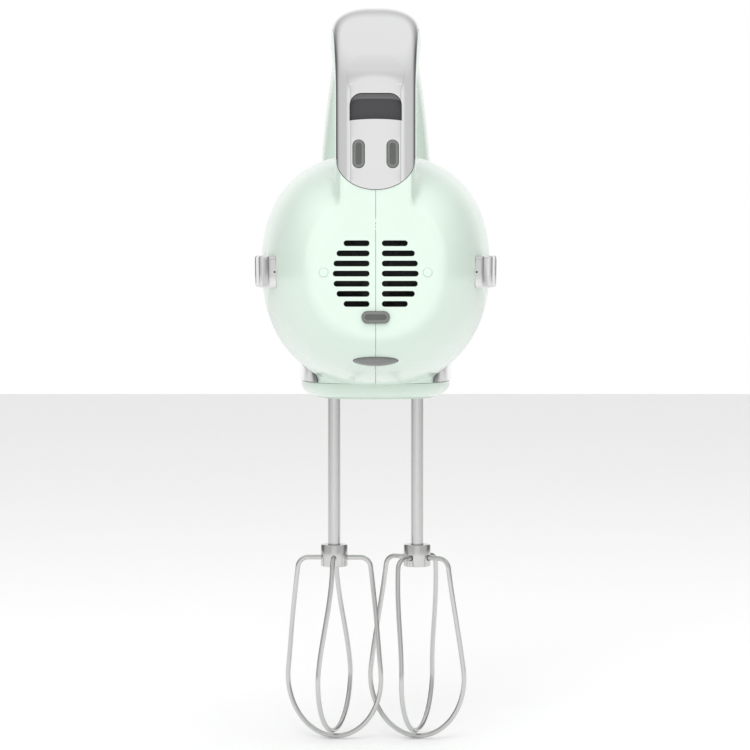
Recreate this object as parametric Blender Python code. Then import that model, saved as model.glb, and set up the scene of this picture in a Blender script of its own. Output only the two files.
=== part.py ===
"""A retro hand mixer standing in its working pose: beaters down, handle up, heel rest to the rear.

Frame: +Z up, +X to the right seen from the rear, the rear (heel) faces -Y and the rounded nose +Y.
The origin is under the middle of the mixer, level with the tips of the beaters.
"""

import math

import bmesh
import bpy
from mathutils import Matrix, Vector

MM = 0.001
CLEARANCE = 0.3 * MM  # the gap between pieces that meet

# ---- Body: an egg with superellipse sections, flat at the rear ----
BODY_Z = 197 * MM  # height of the egg's centre line above the beater tips
BODY_HALF_WIDTH = 45 * MM
BODY_TOP = 45.5 * MM  # from the centre line up
BODY_BOTTOM = 47 * MM  # from the centre line down
TOP_POWER = 2.4
BOTTOM_POWER = 2.2
LENGTH_POWER = 2.3
WIDEST_Y = -20 * MM
NOSE_Y = 100 * MM
FOOT_FACE_Y = -100 * MM  # the plane of the three heel feet
FOOT_HEIGHT = 1.5 * MM
REAR_Y = FOOT_FACE_Y + FOOT_HEIGHT  # the flat vent disc
DISC_SHARE = 0.55  # the disc's size as a share of the widest section
WALL = 2.6 * MM
SEAM_GAP = 0.3 * MM

# ---- Pedestal, base cover and base trim under the body ----
PEDESTAL_HALF_WIDTH = 30.0 * MM
PEDESTAL_HALF_LENGTH = 62 * MM
PEDESTAL_Y = 16 * MM
PEDESTAL_POWER = 3.6
PEDESTAL_WALL = 2.4 * MM
BASE_SEAM_Z = BODY_Z - 44.6 * MM
BASE_COVER_HEIGHT = 5.4 * MM
BASE_COVER_ROUND = 4.6 * MM
SOCKET_PAD_HEIGHT = 0.7 * MM
SOCKET_STANDOUT = 0.6 * MM
SOCKET_LENGTH = 5 * MM
TRIM_BAND_STANDOUT = 0.7 * MM
TRIM_BAND_DEPTH = 0.7 * MM  # how far the band is let into the pedestal
TRIM_BAND_REAR_HALF_GAP = 22.7 * MM
TRIM_BAND_TOP_Z = BODY_Z - 34 * MM
TRIM_BAND_END_X = 29.6 * MM  # where the band's sloping rear ends reach full height
TRIM_BAND_END_Y = -8 * MM
TRIM_BAND_END_HEIGHT = 7.9 * MM
TRIM_BAND_END_POWER = 1.6
BASE_SCREW_INSET = 14.5 * MM  # from the pedestal's outline
BASE_SCREW_SEAT = 2.2 * MM  # the cover's floor under each screw head
BASE_SCREW_HEAD = 2.9 * MM
REAR_SCREW_HEAD = 2.1 * MM
SCREW_SHANK = 1.3 * MM
SCREW_SINK = 2.0 * MM
BASE_POST_HEIGHT = 16 * MM
RIB_HALF = 1 * MM
REAR_POST_LENGTH = 12 * MM
PLUG_THICKNESS = 1.2 * MM
PLUG_SEAT = 3.2 * MM  # depth of the bore under each screw plug

# ---- Handle: a closed loop from the heel over the top to the nose ----
HANDLE_TOP_Z = BODY_Z + 99 * MM
LEG_Y = REAR_Y + 0.5 * MM
LEG_BOTTOM_Z = BODY_Z - 8 * MM
REAR_CORNER = 34 * MM  # radius over the heel
FRONT_ARC_Y = 20 * MM  # where the grip starts to curve down
FRONT_ARC_LENGTH = 76 * MM
FRONT_ARC_HEIGHT = 88 * MM
LEG_HALF_WIDTH = 15.2 * MM
GRIP_HALF_WIDTH = 17.2 * MM
PILLAR_HALF_WIDTH = 23.5 * MM
LEG_DEPTH = 24 * MM
GRIP_DEPTH = 26 * MM
PILLAR_DEPTH = 62 * MM
HANDLE_POWER = 3.0
HANDLE_STEPS = (2, 6, 2, 8)  # sections on the leg, over the heel, on the grip and down the front
HANDLE_WALL = 2.2 * MM
HANDLE_SIDE_WALL = 3.0 * MM
BORE_STEPS = (2, 5, 1, 6)

# ---- Chrome trim let into the outside of the handle ----
TRIM_DEPTH = 2.0 * MM
TRIM_STANDOUT = 0.4 * MM
TRIM_EDGE = 0.7 * MM  # green left beside the trim
TRIM_MAX_HALF_WIDTH = 16.2 * MM
REAR_TONGUE_Z = BODY_Z + 41 * MM
REAR_TONGUE_DEPTH = 11.2 * MM
FRONT_TONGUE_Z = BODY_Z + 36 * MM
FRONT_TONGUE_DEPTH = 12 * MM
HEEL_PAD_HALF_WIDTH = 9.4 * MM
HEEL_PAD_FACE_Y = REAR_Y - 0.4 * MM
HEEL_PAD_LOW_Z = BODY_Z + 33.5 * MM

# ---- Openings and trim on the rear ----
WINDOW_WIDTH = 19 * MM
WINDOW_LOW_Z = BODY_Z + 55.4 * MM
WINDOW_HEIGHT = 9.8 * MM
WINDOW_ROUND = 5.5 * MM
GLAND_HOLE_RADIUS = 3.2 * MM
GLAND_RADIUS = 4.4 * MM
VENT_Z = BODY_Z - 1.4 * MM
VENT_PITCH = 3.75 * MM
VENT_HEIGHT = 2.3 * MM
VENT_INNER = 2.3 * MM
VENT_OUTER = (11.8 * MM, 14.4 * MM, 15.5 * MM, 15.8 * MM)  # top row to middle row
FOOT_LENGTH = 10.2 * MM
FOOT_WIDTH = 4.2 * MM
FOOT_X = 6.3 * MM
UPPER_FOOT_Z = BODY_Z + 42.9 * MM
LOWER_FOOT_Z = BODY_Z - 17.6 * MM
FOOT_SINK = 1 * MM  # how far each foot is let in
FOOT_RIM = 0.4 * MM
BUMPER_Z = BODY_Z - 33.7 * MM
BUMPER_HALF = (8.6 * MM, 5.2 * MM, 3.0 * MM)
BUMPER_SINK = 3.2 * MM
PLUG_X = 19.3 * MM
PLUG_Z = BODY_Z - 1 * MM
PLUG_RADIUS = 1.9 * MM

# ---- Side badges: four plain bars on a rail ----
BADGE_BAR_COUNT = 4
BADGE_BAR_LENGTH = 12 * MM
BADGE_BAR_PITCH = 16.5 * MM
BADGE_REAR_Y = -75 * MM
BADGE_HEIGHT = 12.2 * MM
BADGE_THICKNESS = 2.8 * MM
RAIL_HEIGHT = 3 * MM
RAIL_THICKNESS = 1.2 * MM

# ---- Drive: one motor, one worm, two wheels that turn opposite ways ----
BEATER_X = 17.3 * MM
BEATER_Y = 38 * MM
MOTOR_Z = BODY_Z - 8 * MM
WORM_STARTS = 2
WHEEL_TEETH = 22
WHEEL_PITCH_RADIUS = 13.7 * MM
WORM_PITCH_RADIUS = BEATER_X - WHEEL_PITCH_RADIUS
TOOTH_PITCH = 2 * math.pi * WHEEL_PITCH_RADIUS / WHEEL_TEETH
WORM_LEAD = WORM_STARTS * TOOTH_PITCH
ADDENDUM = 0.95 * MM
DEDENDUM = 1.3 * MM
BACKLASH = 0.5 * MM
WHEEL_WIDTH = 8 * MM
WORM_LENGTH = 14 * MM
SHAFT_RADIUS = 2.0 * MM
SHAFT_REAR_Y = -78 * MM
MOTOR_RADIUS = 22 * MM
MOTOR_REAR_Y = -58 * MM
MOTOR_FRONT_Y = -4 * MM
MOTOR_WALL = 2 * MM
MAGNET_DEPTH = 2.6 * MM
AIR_GAP = 0.8 * MM
COMMUTATOR_RADIUS = 5.5 * MM
BUSH_WALL = 2.4 * MM
FAN_RADIUS = 23 * MM
FAN_REAR_Y = -76 * MM
FAN_WIDTH = 9 * MM
FAN_BLADES = 6

# ---- Gearbox frame, spindles and ejector ----
PLATE_LOW_Z = BODY_Z - 30 * MM
PLATE_THICKNESS = 3 * MM
FRAME_HALF_WIDTH = 24 * MM
FRAME_REAR_Y = -1.5 * MM
FRAME_FRONT_Y = 58 * MM
BRIDGE_LOW_Z = BODY_Z + 1 * MM
SPINDLE_RADIUS = 5 * MM
SPINDLE_TOP_RADIUS = 4 * MM
SPINDLE_TOP_Z = BODY_Z + 5 * MM
SHANK_RADIUS = 2.55 * MM
SHANK_TOP_Z = BODY_Z - 18 * MM
PIN_RADIUS = 2.4 * MM
EJECT_TRAVEL = 7 * MM
PIN_TOP_Z = SPINDLE_TOP_Z + EJECT_TRAVEL + 8 * MM
FORK_THICKNESS = 3 * MM
STEM_RADIUS = 3 * MM
EJECT_Y = 52 * MM
EJECT_HALF_WIDTH = 7 * MM
EJECT_HALF_LENGTH = 7 * MM
EJECT_STANDOUT = 6.4 * MM
SPRING_RADIUS = 4.2 * MM
SPRING_WIRE = 0.5 * MM
SPRING_TURNS = 4.5

# ---- Controls on top of the handle ----
BUTTON_TRAVEL = 1.2 * MM
BUTTON_STANDOUT = 1.3 * MM
SPEED_BUTTON_X = 5.4 * MM
SPEED_BUTTON_Y = 16 * MM
SPEED_BUTTON_HALF = (4.2 * MM, 4.6 * MM)
TURBO_Y = 0 * MM
TURBO_HALF = (6.5 * MM, 5 * MM)
BUTTON_FLANGE = 1.2 * MM
FLANGE_THICKNESS = 1.6 * MM
DISPLAY_Y = 33.5 * MM
DISPLAY_HALF = (9.5 * MM, 6 * MM)
DISPLAY_THICKNESS = 1.0 * MM

# ---- Beaters: a shank, a collar and two crossed wire loops ----
COLLAR_TOP_Z = BODY_Z - 115.5 * MM
COLLAR_HEIGHT = 9.2 * MM
COLLAR_RADIUS = 5.6 * MM
WIRE_RADIUS = 1.0 * MM
WIRE_EXIT_Z = BODY_Z - 121 * MM
WIRE_HOLE_DEPTH = 2.2 * MM
KNEE_RADIUS = 4.4 * MM  # the bend where a wire turns down from the collar
KNEE_TURN = 82.8  # degrees
CAGE_TOP_RADIUS = 15.2 * MM
CAGE_RADIUS = 20.6 * MM
CAGE_WIDEST_Z = 25.8 * MM
CAGE_TANGENT = 9.3  # degrees above the widest place at which the straight flank meets the curved end
LOOP_RISE = 2.4 * MM  # how far the upper loop passes above the lower one
LEFT_PHASE = (-2, -18.5)  # degrees at the top and the bottom of the cage
RIGHT_PHASE = (-32, -19)


# ================= Materials =================

def make_material(name, colour, roughness, metallic=0.0):
    material = bpy.data.materials.new(name)
    material.use_nodes = True
    shader = material.node_tree.nodes["Principled BSDF"]
    shader.inputs["Base Color"].default_value = (*colour, 1.0)
    shader.inputs["Roughness"].default_value = roughness
    shader.inputs["Metallic"].default_value = metallic
    material.diffuse_color = (*colour, 1.0)
    return material


def make_materials():
    return {
        "shell": make_material("shell", (0.70, 0.87, 0.74), 0.22),
        "chrome": make_material("chrome", (0.80, 0.80, 0.81), 0.08, 1.0),
        "rubber": make_material("rubber", (0.16, 0.16, 0.16), 0.7),
        "dark": make_material("dark", (0.05, 0.05, 0.055), 0.35),
        "steel": make_material("steel", (0.66, 0.66, 0.66), 0.25, 1.0),
        "brass": make_material("brass", (0.75, 0.6, 0.32), 0.3, 1.0),
        "nylon": make_material("nylon", (0.86, 0.85, 0.80), 0.5),
        "copper": make_material("copper", (0.78, 0.42, 0.25), 0.35, 1.0),
        "board": make_material("board", (0.05, 0.25, 0.13), 0.5),
    }


# ================= Mesh helpers =================

def add_object(name, bm, material):
    bmesh.ops.recalc_face_normals(bm, faces=bm.faces)
    mesh = bpy.data.meshes.new(name)
    bm.to_mesh(mesh)
    bm.free()
    mesh.materials.append(material)
    obj = bpy.data.objects.new(name, mesh)
    bpy.context.scene.collection.objects.link(obj)
    return obj


def bridge(bm, lower, upper):
    count = len(lower)
    for i in range(count):
        j = (i + 1) % count
        bm.faces.new((lower[i], lower[j], upper[j], upper[i]))


def add_rings(bm, rings, closed=False):
    """Bridges rings of points with equal counts. The ends are capped unless the rings close on themselves."""
    loops = [[bm.verts.new(p) for p in ring] for ring in rings]
    for lower, upper in zip(loops, loops[1:]):
        bridge(bm, lower, upper)
    if closed:
        bridge(bm, loops[-1], loops[0])
    else:
        bm.faces.new(loops[0])
        bm.faces.new(loops[-1])


def loft(name, rings, material, closed=False):
    bm = bmesh.new()
    add_rings(bm, rings, closed)
    return add_object(name, bm, material)


def turned(name, profile, origin, axis, material, steps=24, hollow=False):
    """Turns (radius, height) points about an axis. A hollow profile is a closed loop clear of the axis."""
    spin = Vector((0, 0, 1)).rotation_difference(Vector(axis)).to_matrix()
    rings = []
    for radius, height in profile:
        angles = [2 * math.pi * i / steps for i in range(steps)]
        ring = [Vector((radius * math.cos(a), radius * math.sin(a), height)) for a in angles]
        rings.append([Vector(origin) + spin @ p for p in ring])
    return loft(name, rings, material, closed=hollow)


def cylinder(name, radius, low, high, origin, axis, material, steps=20):
    return turned(name, [(radius, low), (radius, high)], origin, axis, material, steps)


def tube(name, outer, inner, low, high, origin, axis, material, steps=24):
    profile = [(outer, low), (outer, high), (inner, high), (inner, low)]
    return turned(name, profile, origin, axis, material, steps, hollow=True)


def block(name, low, high, material):
    (x0, y0, z0), (x1, y1, z1) = low, high
    rings = [[(x0, y0, z), (x1, y0, z), (x1, y1, z), (x0, y1, z)] for z in (z0, z1)]
    return loft(name, rings, material)


def outline_prism(name, outline, low, high, place, material):
    """Extrudes a 2D outline: place(u, v, w) turns a point of it at depth w into a 3D point."""
    return loft(name, [[place(u, v, w) for u, v in outline] for w in (low, high)], material)


def along_y(u, v, w):
    return Vector((u, w, v))


def along_z(u, v, w):
    return Vector((u, v, w))


def rounded_box(half_width, half_height, radius, centre=(0, 0), steps=2):
    points = []
    for corner in range(4):
        cx = (half_width - radius) * (1 if corner in (0, 3) else -1)
        cy = (half_height - radius) * (1 if corner < 2 else -1)
        for i in range(steps + 1):
            angle = math.pi / 2 * (corner + i / steps)
            point = (cx + radius * math.cos(angle), cy + radius * math.sin(angle))
            points.append((centre[0] + point[0], centre[1] + point[1]))
    return points


def apply_boolean(target, other, operation, solver="EXACT"):
    modifier = target.modifiers.new(operation.lower(), "BOOLEAN")
    modifier.operation = operation
    modifier.solver = solver
    modifier.object = other
    graph = bpy.context.evaluated_depsgraph_get()
    mesh = bpy.data.meshes.new_from_object(target.evaluated_get(graph))
    target.modifiers.clear()
    target.data = mesh
    bpy.data.objects.remove(other)
    return target


def cut(target, other, solver="EXACT"):
    return apply_boolean(target, other, "DIFFERENCE", solver)


def join(target, other, solver="EXACT"):
    return apply_boolean(target, other, "UNION", solver)


def keep_inside(target, other, solver="EXACT"):
    return apply_boolean(target, other, "INTERSECT", solver)


def finish_round(obj, angle=35):
    obj.data.shade_smooth()
    obj.data.set_sharp_from_angle(angle=math.radians(angle))
    return obj


# ================= Shape of the body =================

def tail_reach():
    """How far behind its widest section the egg would end if it weren't cut flat."""
    return (WIDEST_Y - REAR_Y) / (1 - DISC_SHARE**LENGTH_POWER) ** (1 / LENGTH_POWER)


def length_share(y):
    """Size of the body's section at y, as a share of the widest one."""
    reach = NOSE_Y - WIDEST_Y if y > WIDEST_Y else tail_reach()
    t = min(1.0, abs(y - WIDEST_Y) / reach)
    return (1 - t**LENGTH_POWER) ** (1 / LENGTH_POWER)


def body_section(y, inset, count):
    """Points round the body's section at y, moved in by inset."""
    share = length_share(y)
    width = share * BODY_HALF_WIDTH - inset
    points = []
    for i in range(count):
        angle = 2 * math.pi * (i + 0.5) / count
        up = math.sin(angle) > 0
        power = TOP_POWER if up else BOTTOM_POWER
        height = share * (BODY_TOP if up else BODY_BOTTOM) - inset
        x = width * math.copysign(abs(math.cos(angle)) ** (2 / power), math.cos(angle))
        z = height * math.copysign(abs(math.sin(angle)) ** (2 / power), math.sin(angle))
        points.append(Vector((x, y, BODY_Z + z)))
    return points


def body_side_x(y, z):
    """Half-width of the body's outside at y and height z."""
    share = length_share(y)
    up = z > BODY_Z
    power = TOP_POWER if up else BOTTOM_POWER
    height = share * (BODY_TOP if up else BODY_BOTTOM)
    return share * BODY_HALF_WIDTH * (1 - min(1, abs(z - BODY_Z) / height) ** power) ** (1 / power)


def body_rear_y(z):
    """The body's rear surface on the middle line, at a height below the disc."""
    share = (BODY_Z - z) / BODY_BOTTOM
    return max(REAR_Y, WIDEST_Y - tail_reach() * (1 - share**LENGTH_POWER) ** (1 / LENGTH_POWER))


def body_solid(name, inset, stations, count, material):
    """The egg, or what is left of it once its skin of thickness inset is taken off."""
    tip = NOSE_Y - inset
    rear = REAR_Y + inset
    rings = []
    for i in range(stations + 1):
        turn = math.pi * i / stations
        y = (tip + rear) / 2 - (tip - rear) / 2 * math.cos(turn)
        if i == stations:
            y = tip - 0.02 * MM
        rings.append(body_section(y, min(inset, 0.9 * length_share(y) * BODY_TOP), count))
    return loft(name, rings, material)


# ================= Shape of the handle =================

def handle_stations(leg, corner, grip, front):
    """(y, z, outward normal, share of the way) down the outside of the handle, from heel to nose."""
    found = []
    corner_z = HANDLE_TOP_Z - REAR_CORNER
    for i in range(leg):
        z = LEG_BOTTOM_Z + (corner_z - LEG_BOTTOM_Z) * i / leg
        found.append((LEG_Y, z, Vector((0, -1, 0)), 0.0))
    for i in range(corner):
        angle = math.pi / 2 * i / corner
        normal = Vector((0, -math.cos(angle), math.sin(angle)))
        y = LEG_Y + REAR_CORNER * (1 - math.cos(angle))
        found.append((y, corner_z + REAR_CORNER * math.sin(angle), normal, i / corner))
    grip_start = LEG_Y + REAR_CORNER
    for i in range(grip):
        y = grip_start + (FRONT_ARC_Y - grip_start) * i / grip
        found.append((y, HANDLE_TOP_Z, Vector((0, 0, 1)), 1.0))
    for i in range(front + 1):
        angle = math.pi / 2 * i / front
        y = FRONT_ARC_Y + FRONT_ARC_LENGTH * math.sin(angle)
        z = HANDLE_TOP_Z - FRONT_ARC_HEIGHT * (1 - math.cos(angle))
        normal = Vector((0, math.sin(angle) / FRONT_ARC_LENGTH, math.cos(angle) / FRONT_ARC_HEIGHT))
        found.append((y, z, normal.normalized(), 1.0 + i / front))
    return found


def ease(t):
    t = max(0.0, min(1.0, t))
    return t * t * (3 - 2 * t)


def handle_half_width(way):
    if way <= 1:
        return LEG_HALF_WIDTH + (GRIP_HALF_WIDTH - LEG_HALF_WIDTH) * ease(way)
    return GRIP_HALF_WIDTH + (PILLAR_HALF_WIDTH - GRIP_HALF_WIDTH) * ease((way - 1) * 1.25)


def handle_depth(way):
    if way <= 1:
        return LEG_DEPTH + (GRIP_DEPTH - LEG_DEPTH) * ease(way)
    return GRIP_DEPTH + (PILLAR_DEPTH - GRIP_DEPTH) * ease((way - 1) * 1.1)


def trim_half_width(way):
    return min(handle_half_width(way) - TRIM_EDGE, TRIM_MAX_HALF_WIDTH)


def handle_solid(name, side, outside, inside, counts, points, material):
    """The handle's sweep, taken in by side on its flanks, outside and inside."""
    rings = []
    for y, z, normal, way in handle_stations(*counts):
        half_width = handle_half_width(way) - side
        half_depth = (handle_depth(way) - outside - inside) / 2
        centre = Vector((0, y, z)) - normal * (outside + half_depth)
        ring = []
        for i in range(points):
            angle = 2 * math.pi * (i + 0.5) / points
            c, s = math.cos(angle), math.sin(angle)
            x = half_width * math.copysign(abs(c) ** (2 / HANDLE_POWER), c)
            n = half_depth * math.copysign(abs(s) ** (2 / HANDLE_POWER), s)
            ring.append(centre + Vector((x, 0, 0)) + normal * n)
        rings.append(ring)
    return loft(name, rings, material)


def trim_solid(name, grow, top, counts, material):
    """The strip wrapped over the handle's outside: grow widens and deepens it, top lifts its face."""
    spread = 6
    floor = -TRIM_DEPTH - grow
    rings = []
    for y, z, normal, way in handle_stations(*counts):
        half_width = handle_half_width(way)
        half_depth = handle_depth(way) / 2
        centre = Vector((0, y, z)) - normal * half_depth
        edge = math.asin(((trim_half_width(way) + grow) / half_width) ** (HANDLE_POWER / 2))
        upper, lower = [], []
        for i in range(spread + 1):
            angle = edge * (2 * i / spread - 1)
            s = math.copysign(abs(math.sin(angle)) ** (2 / HANDLE_POWER), angle)
            c = math.cos(angle) ** (2 / HANDLE_POWER)
            for ring, out in ((upper, top), (lower, floor)):
                ring.append(centre + Vector(((half_width + out) * s, 0, 0)) + normal * (half_depth + out) * c)
        rings.append(upper + lower[::-1])
    return loft(name, rings, material)


def bore_roof_z(x):
    """Height of the grip's inner roof at x from the middle line."""
    roof = TRIM_DEPTH + CLEARANCE + HANDLE_WALL
    half_depth = (GRIP_DEPTH - roof - HANDLE_WALL) / 2
    share = x / (GRIP_HALF_WIDTH - HANDLE_SIDE_WALL)
    fall = half_depth * (1 - (1 - share**HANDLE_POWER) ** (1 / HANDLE_POWER))
    return HANDLE_TOP_Z - roof - fall - 0.5 * MM


def tongue_cutter(name, centre_z, depth, half_width, y_range, material):
    """Cuts the end of the trim to a half ellipse, seen along Y."""
    steps = 12
    far = 40 * MM
    arc = []
    for i in range(steps + 1):
        angle = math.pi * i / steps
        arc.append((-half_width * math.cos(angle), centre_z - depth * math.sin(angle)))
    outline = [(-far, centre_z), *arc, (far, centre_z), (far, centre_z - far * 2), (-far, centre_z - far * 2)]
    return outline_prism(name, outline, *y_range, along_y, material)


def cut_tongues(strip, grow, material):
    half_width = LEG_HALF_WIDTH - TRIM_EDGE + grow
    ends = (
        (REAR_TONGUE_Z, REAR_TONGUE_DEPTH + grow, half_width, (REAR_Y - 10 * MM, WIDEST_Y)),
        (FRONT_TONGUE_Z, FRONT_TONGUE_DEPTH + grow, TRIM_MAX_HALF_WIDTH + grow, (WIDEST_Y, NOSE_Y + 10 * MM)),
    )
    for centre_z, depth, width, y_range in ends:
        cut(strip, tongue_cutter("tongue_end", centre_z, depth, width, y_range, material))
    return strip


def handle_top_z(y):
    """Height of the handle's outside on its middle line, on the grip and the front arc."""
    t = max(0.0, (y - FRONT_ARC_Y) / FRONT_ARC_LENGTH)
    return HANDLE_TOP_Z - FRONT_ARC_HEIGHT * (1 - math.sqrt(1 - t * t))


# ================= Pedestal =================

def pedestal_outline(inset, count=24):
    points = []
    for i in range(count):
        angle = 2 * math.pi * (i + 0.5) / count
        c, s = math.cos(angle), math.sin(angle)
        x = (PEDESTAL_HALF_WIDTH - inset) * math.copysign(abs(c) ** (2 / PEDESTAL_POWER), c)
        y = (PEDESTAL_HALF_LENGTH - inset) * math.copysign(abs(s) ** (2 / PEDESTAL_POWER), s)
        points.append((x, PEDESTAL_Y + y))
    return points


def pedestal_solid(name, inset, low, high, material):
    return outline_prism(name, pedestal_outline(inset), low, high, along_z, material)


# ================= Housing =================

def window_outline(grow):
    """The cord outlet's shape: a low arch with a flat sill."""
    half = WINDOW_WIDTH / 2 + grow
    low, high = WINDOW_LOW_Z - grow, WINDOW_LOW_Z + WINDOW_HEIGHT + grow
    radius = WINDOW_ROUND + grow
    sill = 1.5 * MM
    points = [(-half + sill, low), (half - sill, low), (half, low + sill)]
    for sign in (1, -1):
        for i in range(4):
            angle = math.pi / 2 * (i / 3 if sign > 0 else 1 - i / 3)
            x = sign * (half - radius + radius * math.cos(angle))
            points.append((x, high - radius + radius * math.sin(angle)))
    return [*points, (-half, low + sill)]


def vent_rows():
    """(z, outer end) of each row of slots."""
    rows = len(VENT_OUTER) * 2 - 1
    middle = len(VENT_OUTER) - 1
    for i in range(rows):
        yield VENT_Z + (middle - i) * VENT_PITCH, VENT_OUTER[middle - abs(middle - i)]


def vent_cutter(material):
    bm = bmesh.new()
    for z, outer in vent_rows():
        for side in (-1, 1):
            centre = (side * (VENT_INNER + outer) / 2, z)
            half = ((outer - VENT_INNER) / 2, VENT_HEIGHT / 2)
            slot = rounded_box(*half, half[1] * 0.9, centre, steps=1)
            depths = (REAR_Y - 4 * MM, REAR_Y + 8 * MM)
            add_rings(bm, [[along_y(u, v, w) for u, v in slot] for w in depths])
    return add_object("vent_slots", bm, material)


def foot_outline(grow, upright):
    half = (FOOT_WIDTH / 2 + grow, FOOT_LENGTH / 2 + grow)
    width, height = half if upright else half[::-1]
    return rounded_box(width, height, half[0] * 0.999)


def base_screw_places():
    for x in (-1, 1):
        for y in (-1, 1):
            place_y = PEDESTAL_Y + y * (PEDESTAL_HALF_LENGTH - BASE_SCREW_INSET)
            yield x * (PEDESTAL_HALF_WIDTH - BASE_SCREW_INSET), place_y


def button_specs():
    """(name, x, y, half sizes) of the three push buttons on the grip."""
    return (
        ("plus_button", SPEED_BUTTON_X, SPEED_BUTTON_Y, SPEED_BUTTON_HALF),
        ("minus_button", -SPEED_BUTTON_X, SPEED_BUTTON_Y, SPEED_BUTTON_HALF),
        ("turbo_button", 0.0, TURBO_Y, TURBO_HALF),
    )


def display_place(u, v, w):
    """A point of the display: u across, v along the handle, w out of its surface."""
    t = (DISPLAY_Y - FRONT_ARC_Y) / FRONT_ARC_LENGTH
    slope = -FRONT_ARC_HEIGHT / FRONT_ARC_LENGTH * t / math.sqrt(1 - t * t)
    along = Vector((0, 1, slope)).normalized()
    out = Vector((0, -slope, 1)).normalized()
    return Vector((u, DISPLAY_Y, handle_top_z(DISPLAY_Y))) + along * v + out * w


def top_cutters(material):
    """Holes for the display, the buttons and the ejector, through the trim and the handle's roof."""
    gap = CLEARANCE
    roof = 9 * MM
    high = HANDLE_TOP_Z + 12 * MM
    cutters = []
    for name, x, y, (half_x, half_y) in button_specs():
        outline = rounded_box(half_x + gap, half_y + gap, 2 * MM + gap, (x, y))
        cutters.append(outline_prism(name + "_hole", outline, HANDLE_TOP_Z - roof, high, along_z, material))
    outline = rounded_box(EJECT_HALF_WIDTH + gap, EJECT_HALF_LENGTH + gap, 3 * MM + gap, (0, EJECT_Y))
    low = handle_top_z(EJECT_Y) - 2 * roof
    cutters.append(outline_prism("eject_hole", outline, low, high, along_z, material))
    return cutters


def display_pocket(material):
    outline = rounded_box(DISPLAY_HALF[0] + CLEARANCE, DISPLAY_HALF[1] + CLEARANCE, 2.3 * MM)
    depths = (-DISPLAY_THICKNESS - 2 * CLEARANCE, 6 * MM)
    return outline_prism("display_pocket", outline, *depths, display_place, material)


def rear_cutters(material):
    """Vents, feet recesses, plugs and the cord outlet."""
    outer = REAR_Y - 4 * MM
    cutters = [vent_cutter(material)]
    lower = [(u, LOWER_FOOT_Z + v) for u, v in foot_outline(CLEARANCE, upright=False)]
    cutters.append(outline_prism("foot_recess", lower, outer, REAR_Y + FOOT_SINK, along_y, material))
    window = window_outline(CLEARANCE)
    cutters.append(outline_prism("window_hole", window, outer, LEG_Y + 10 * MM, along_y, material))
    for side in (-1, 1):
        place = (side * PLUG_X, 0, PLUG_Z)
        wide, narrow, seat = REAR_SCREW_HEAD + CLEARANCE, SCREW_SHANK + CLEARANCE, REAR_Y + PLUG_SEAT
        profile = [(PLUG_RADIUS + CLEARANCE, outer), (PLUG_RADIUS + CLEARANCE, REAR_Y + PLUG_THICKNESS)]
        profile += [(wide, REAR_Y + PLUG_THICKNESS), (wide, seat), (narrow, seat), (narrow, REAR_Y + 20 * MM)]
        cutters.append(turned("plug_hole", profile, place, (0, 1, 0), material, steps=12))
    return cutters


def bumper_solid(name, grow, material):
    """A lens-shaped rest on the underside of the tail, as a flattened ellipsoid slice."""
    centre = Vector((0, body_rear_y(BUMPER_Z) + BUMPER_SINK, BUMPER_Z))
    half_x, half_y, half_z = (half + grow for half in BUMPER_HALF)
    rings = []
    steps, layers = 16, 6
    for j in range(1, layers):
        lift = math.pi * j / layers
        ring = []
        for i in range(steps):
            angle = 2 * math.pi * i / steps
            x = half_x * math.sin(lift) * math.cos(angle)
            y = half_y * math.sin(lift) * math.sin(angle)
            ring.append(centre + Vector((x, y, half_z * math.cos(lift))))
        rings.append(ring)
    return loft(name, rings, material)


def trim_band(name, grow, material):
    """The U-shaped chrome band round the pedestal, open at the rear and cut by the body above."""
    low, high = BASE_SEAM_Z + CLEARANCE - grow, TRIM_BAND_TOP_Z
    band = pedestal_solid(name, -TRIM_BAND_STANDOUT - grow, low, high, material)
    cut(band, pedestal_solid("core", TRIM_BAND_DEPTH + grow, low - 5 * MM, high + 5 * MM, material))
    rear_y = PEDESTAL_Y - PEDESTAL_HALF_LENGTH - 10 * MM
    outline = band_end_outline(grow, low - 5 * MM, high + 5 * MM)
    return cut(band, outline_prism("rear_gap", outline, rear_y, TRIM_BAND_END_Y, along_y, material))


def band_end_outline(grow, low, high):
    """What is taken off the band at the rear, seen along Y: a gap whose sides slope up and outwards."""
    inner = TRIM_BAND_REAR_HALF_GAP - grow
    steps = 6
    slope = []
    for i in range(steps + 1):
        t = 1 - i / steps
        rise = (1 - t**TRIM_BAND_END_POWER) ** (1 / TRIM_BAND_END_POWER)
        x = TRIM_BAND_END_X - (TRIM_BAND_END_X - inner) * t
        slope.append((x, BASE_SEAM_Z + CLEARANCE + (TRIM_BAND_END_HEIGHT + grow) * rise))
    right = [(inner, low), *slope, (TRIM_BAND_END_X, high)]
    return right + [(-x, z) for x, z in reversed(right)]


def housing_bosses(material):
    """Solid posts left inside the shells for the base screws and the rear screws."""
    posts = []
    low, high = BASE_SEAM_Z, BASE_SEAM_Z + BASE_POST_HEIGHT
    for x, y in base_screw_places():
        posts.append(cylinder("post", 3.6 * MM, low, high, (x, y, 0), (0, 0, 1), material, 10))
        wall = PEDESTAL_Y + math.copysign(PEDESTAL_HALF_LENGTH, y - PEDESTAL_Y)
        rear, front = sorted((y, wall))
        posts.append(block("rib", (x - RIB_HALF, rear, low), (x + RIB_HALF, front, high), material))
    for side in (-1, 1):
        place = (side * PLUG_X, 0, PLUG_Z)
        ends = (REAR_Y, REAR_Y + REAR_POST_LENGTH)
        posts.append(cylinder("post", 4.2 * MM, *ends, place, (0, 1, 0), material, 12))
    return posts


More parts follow.
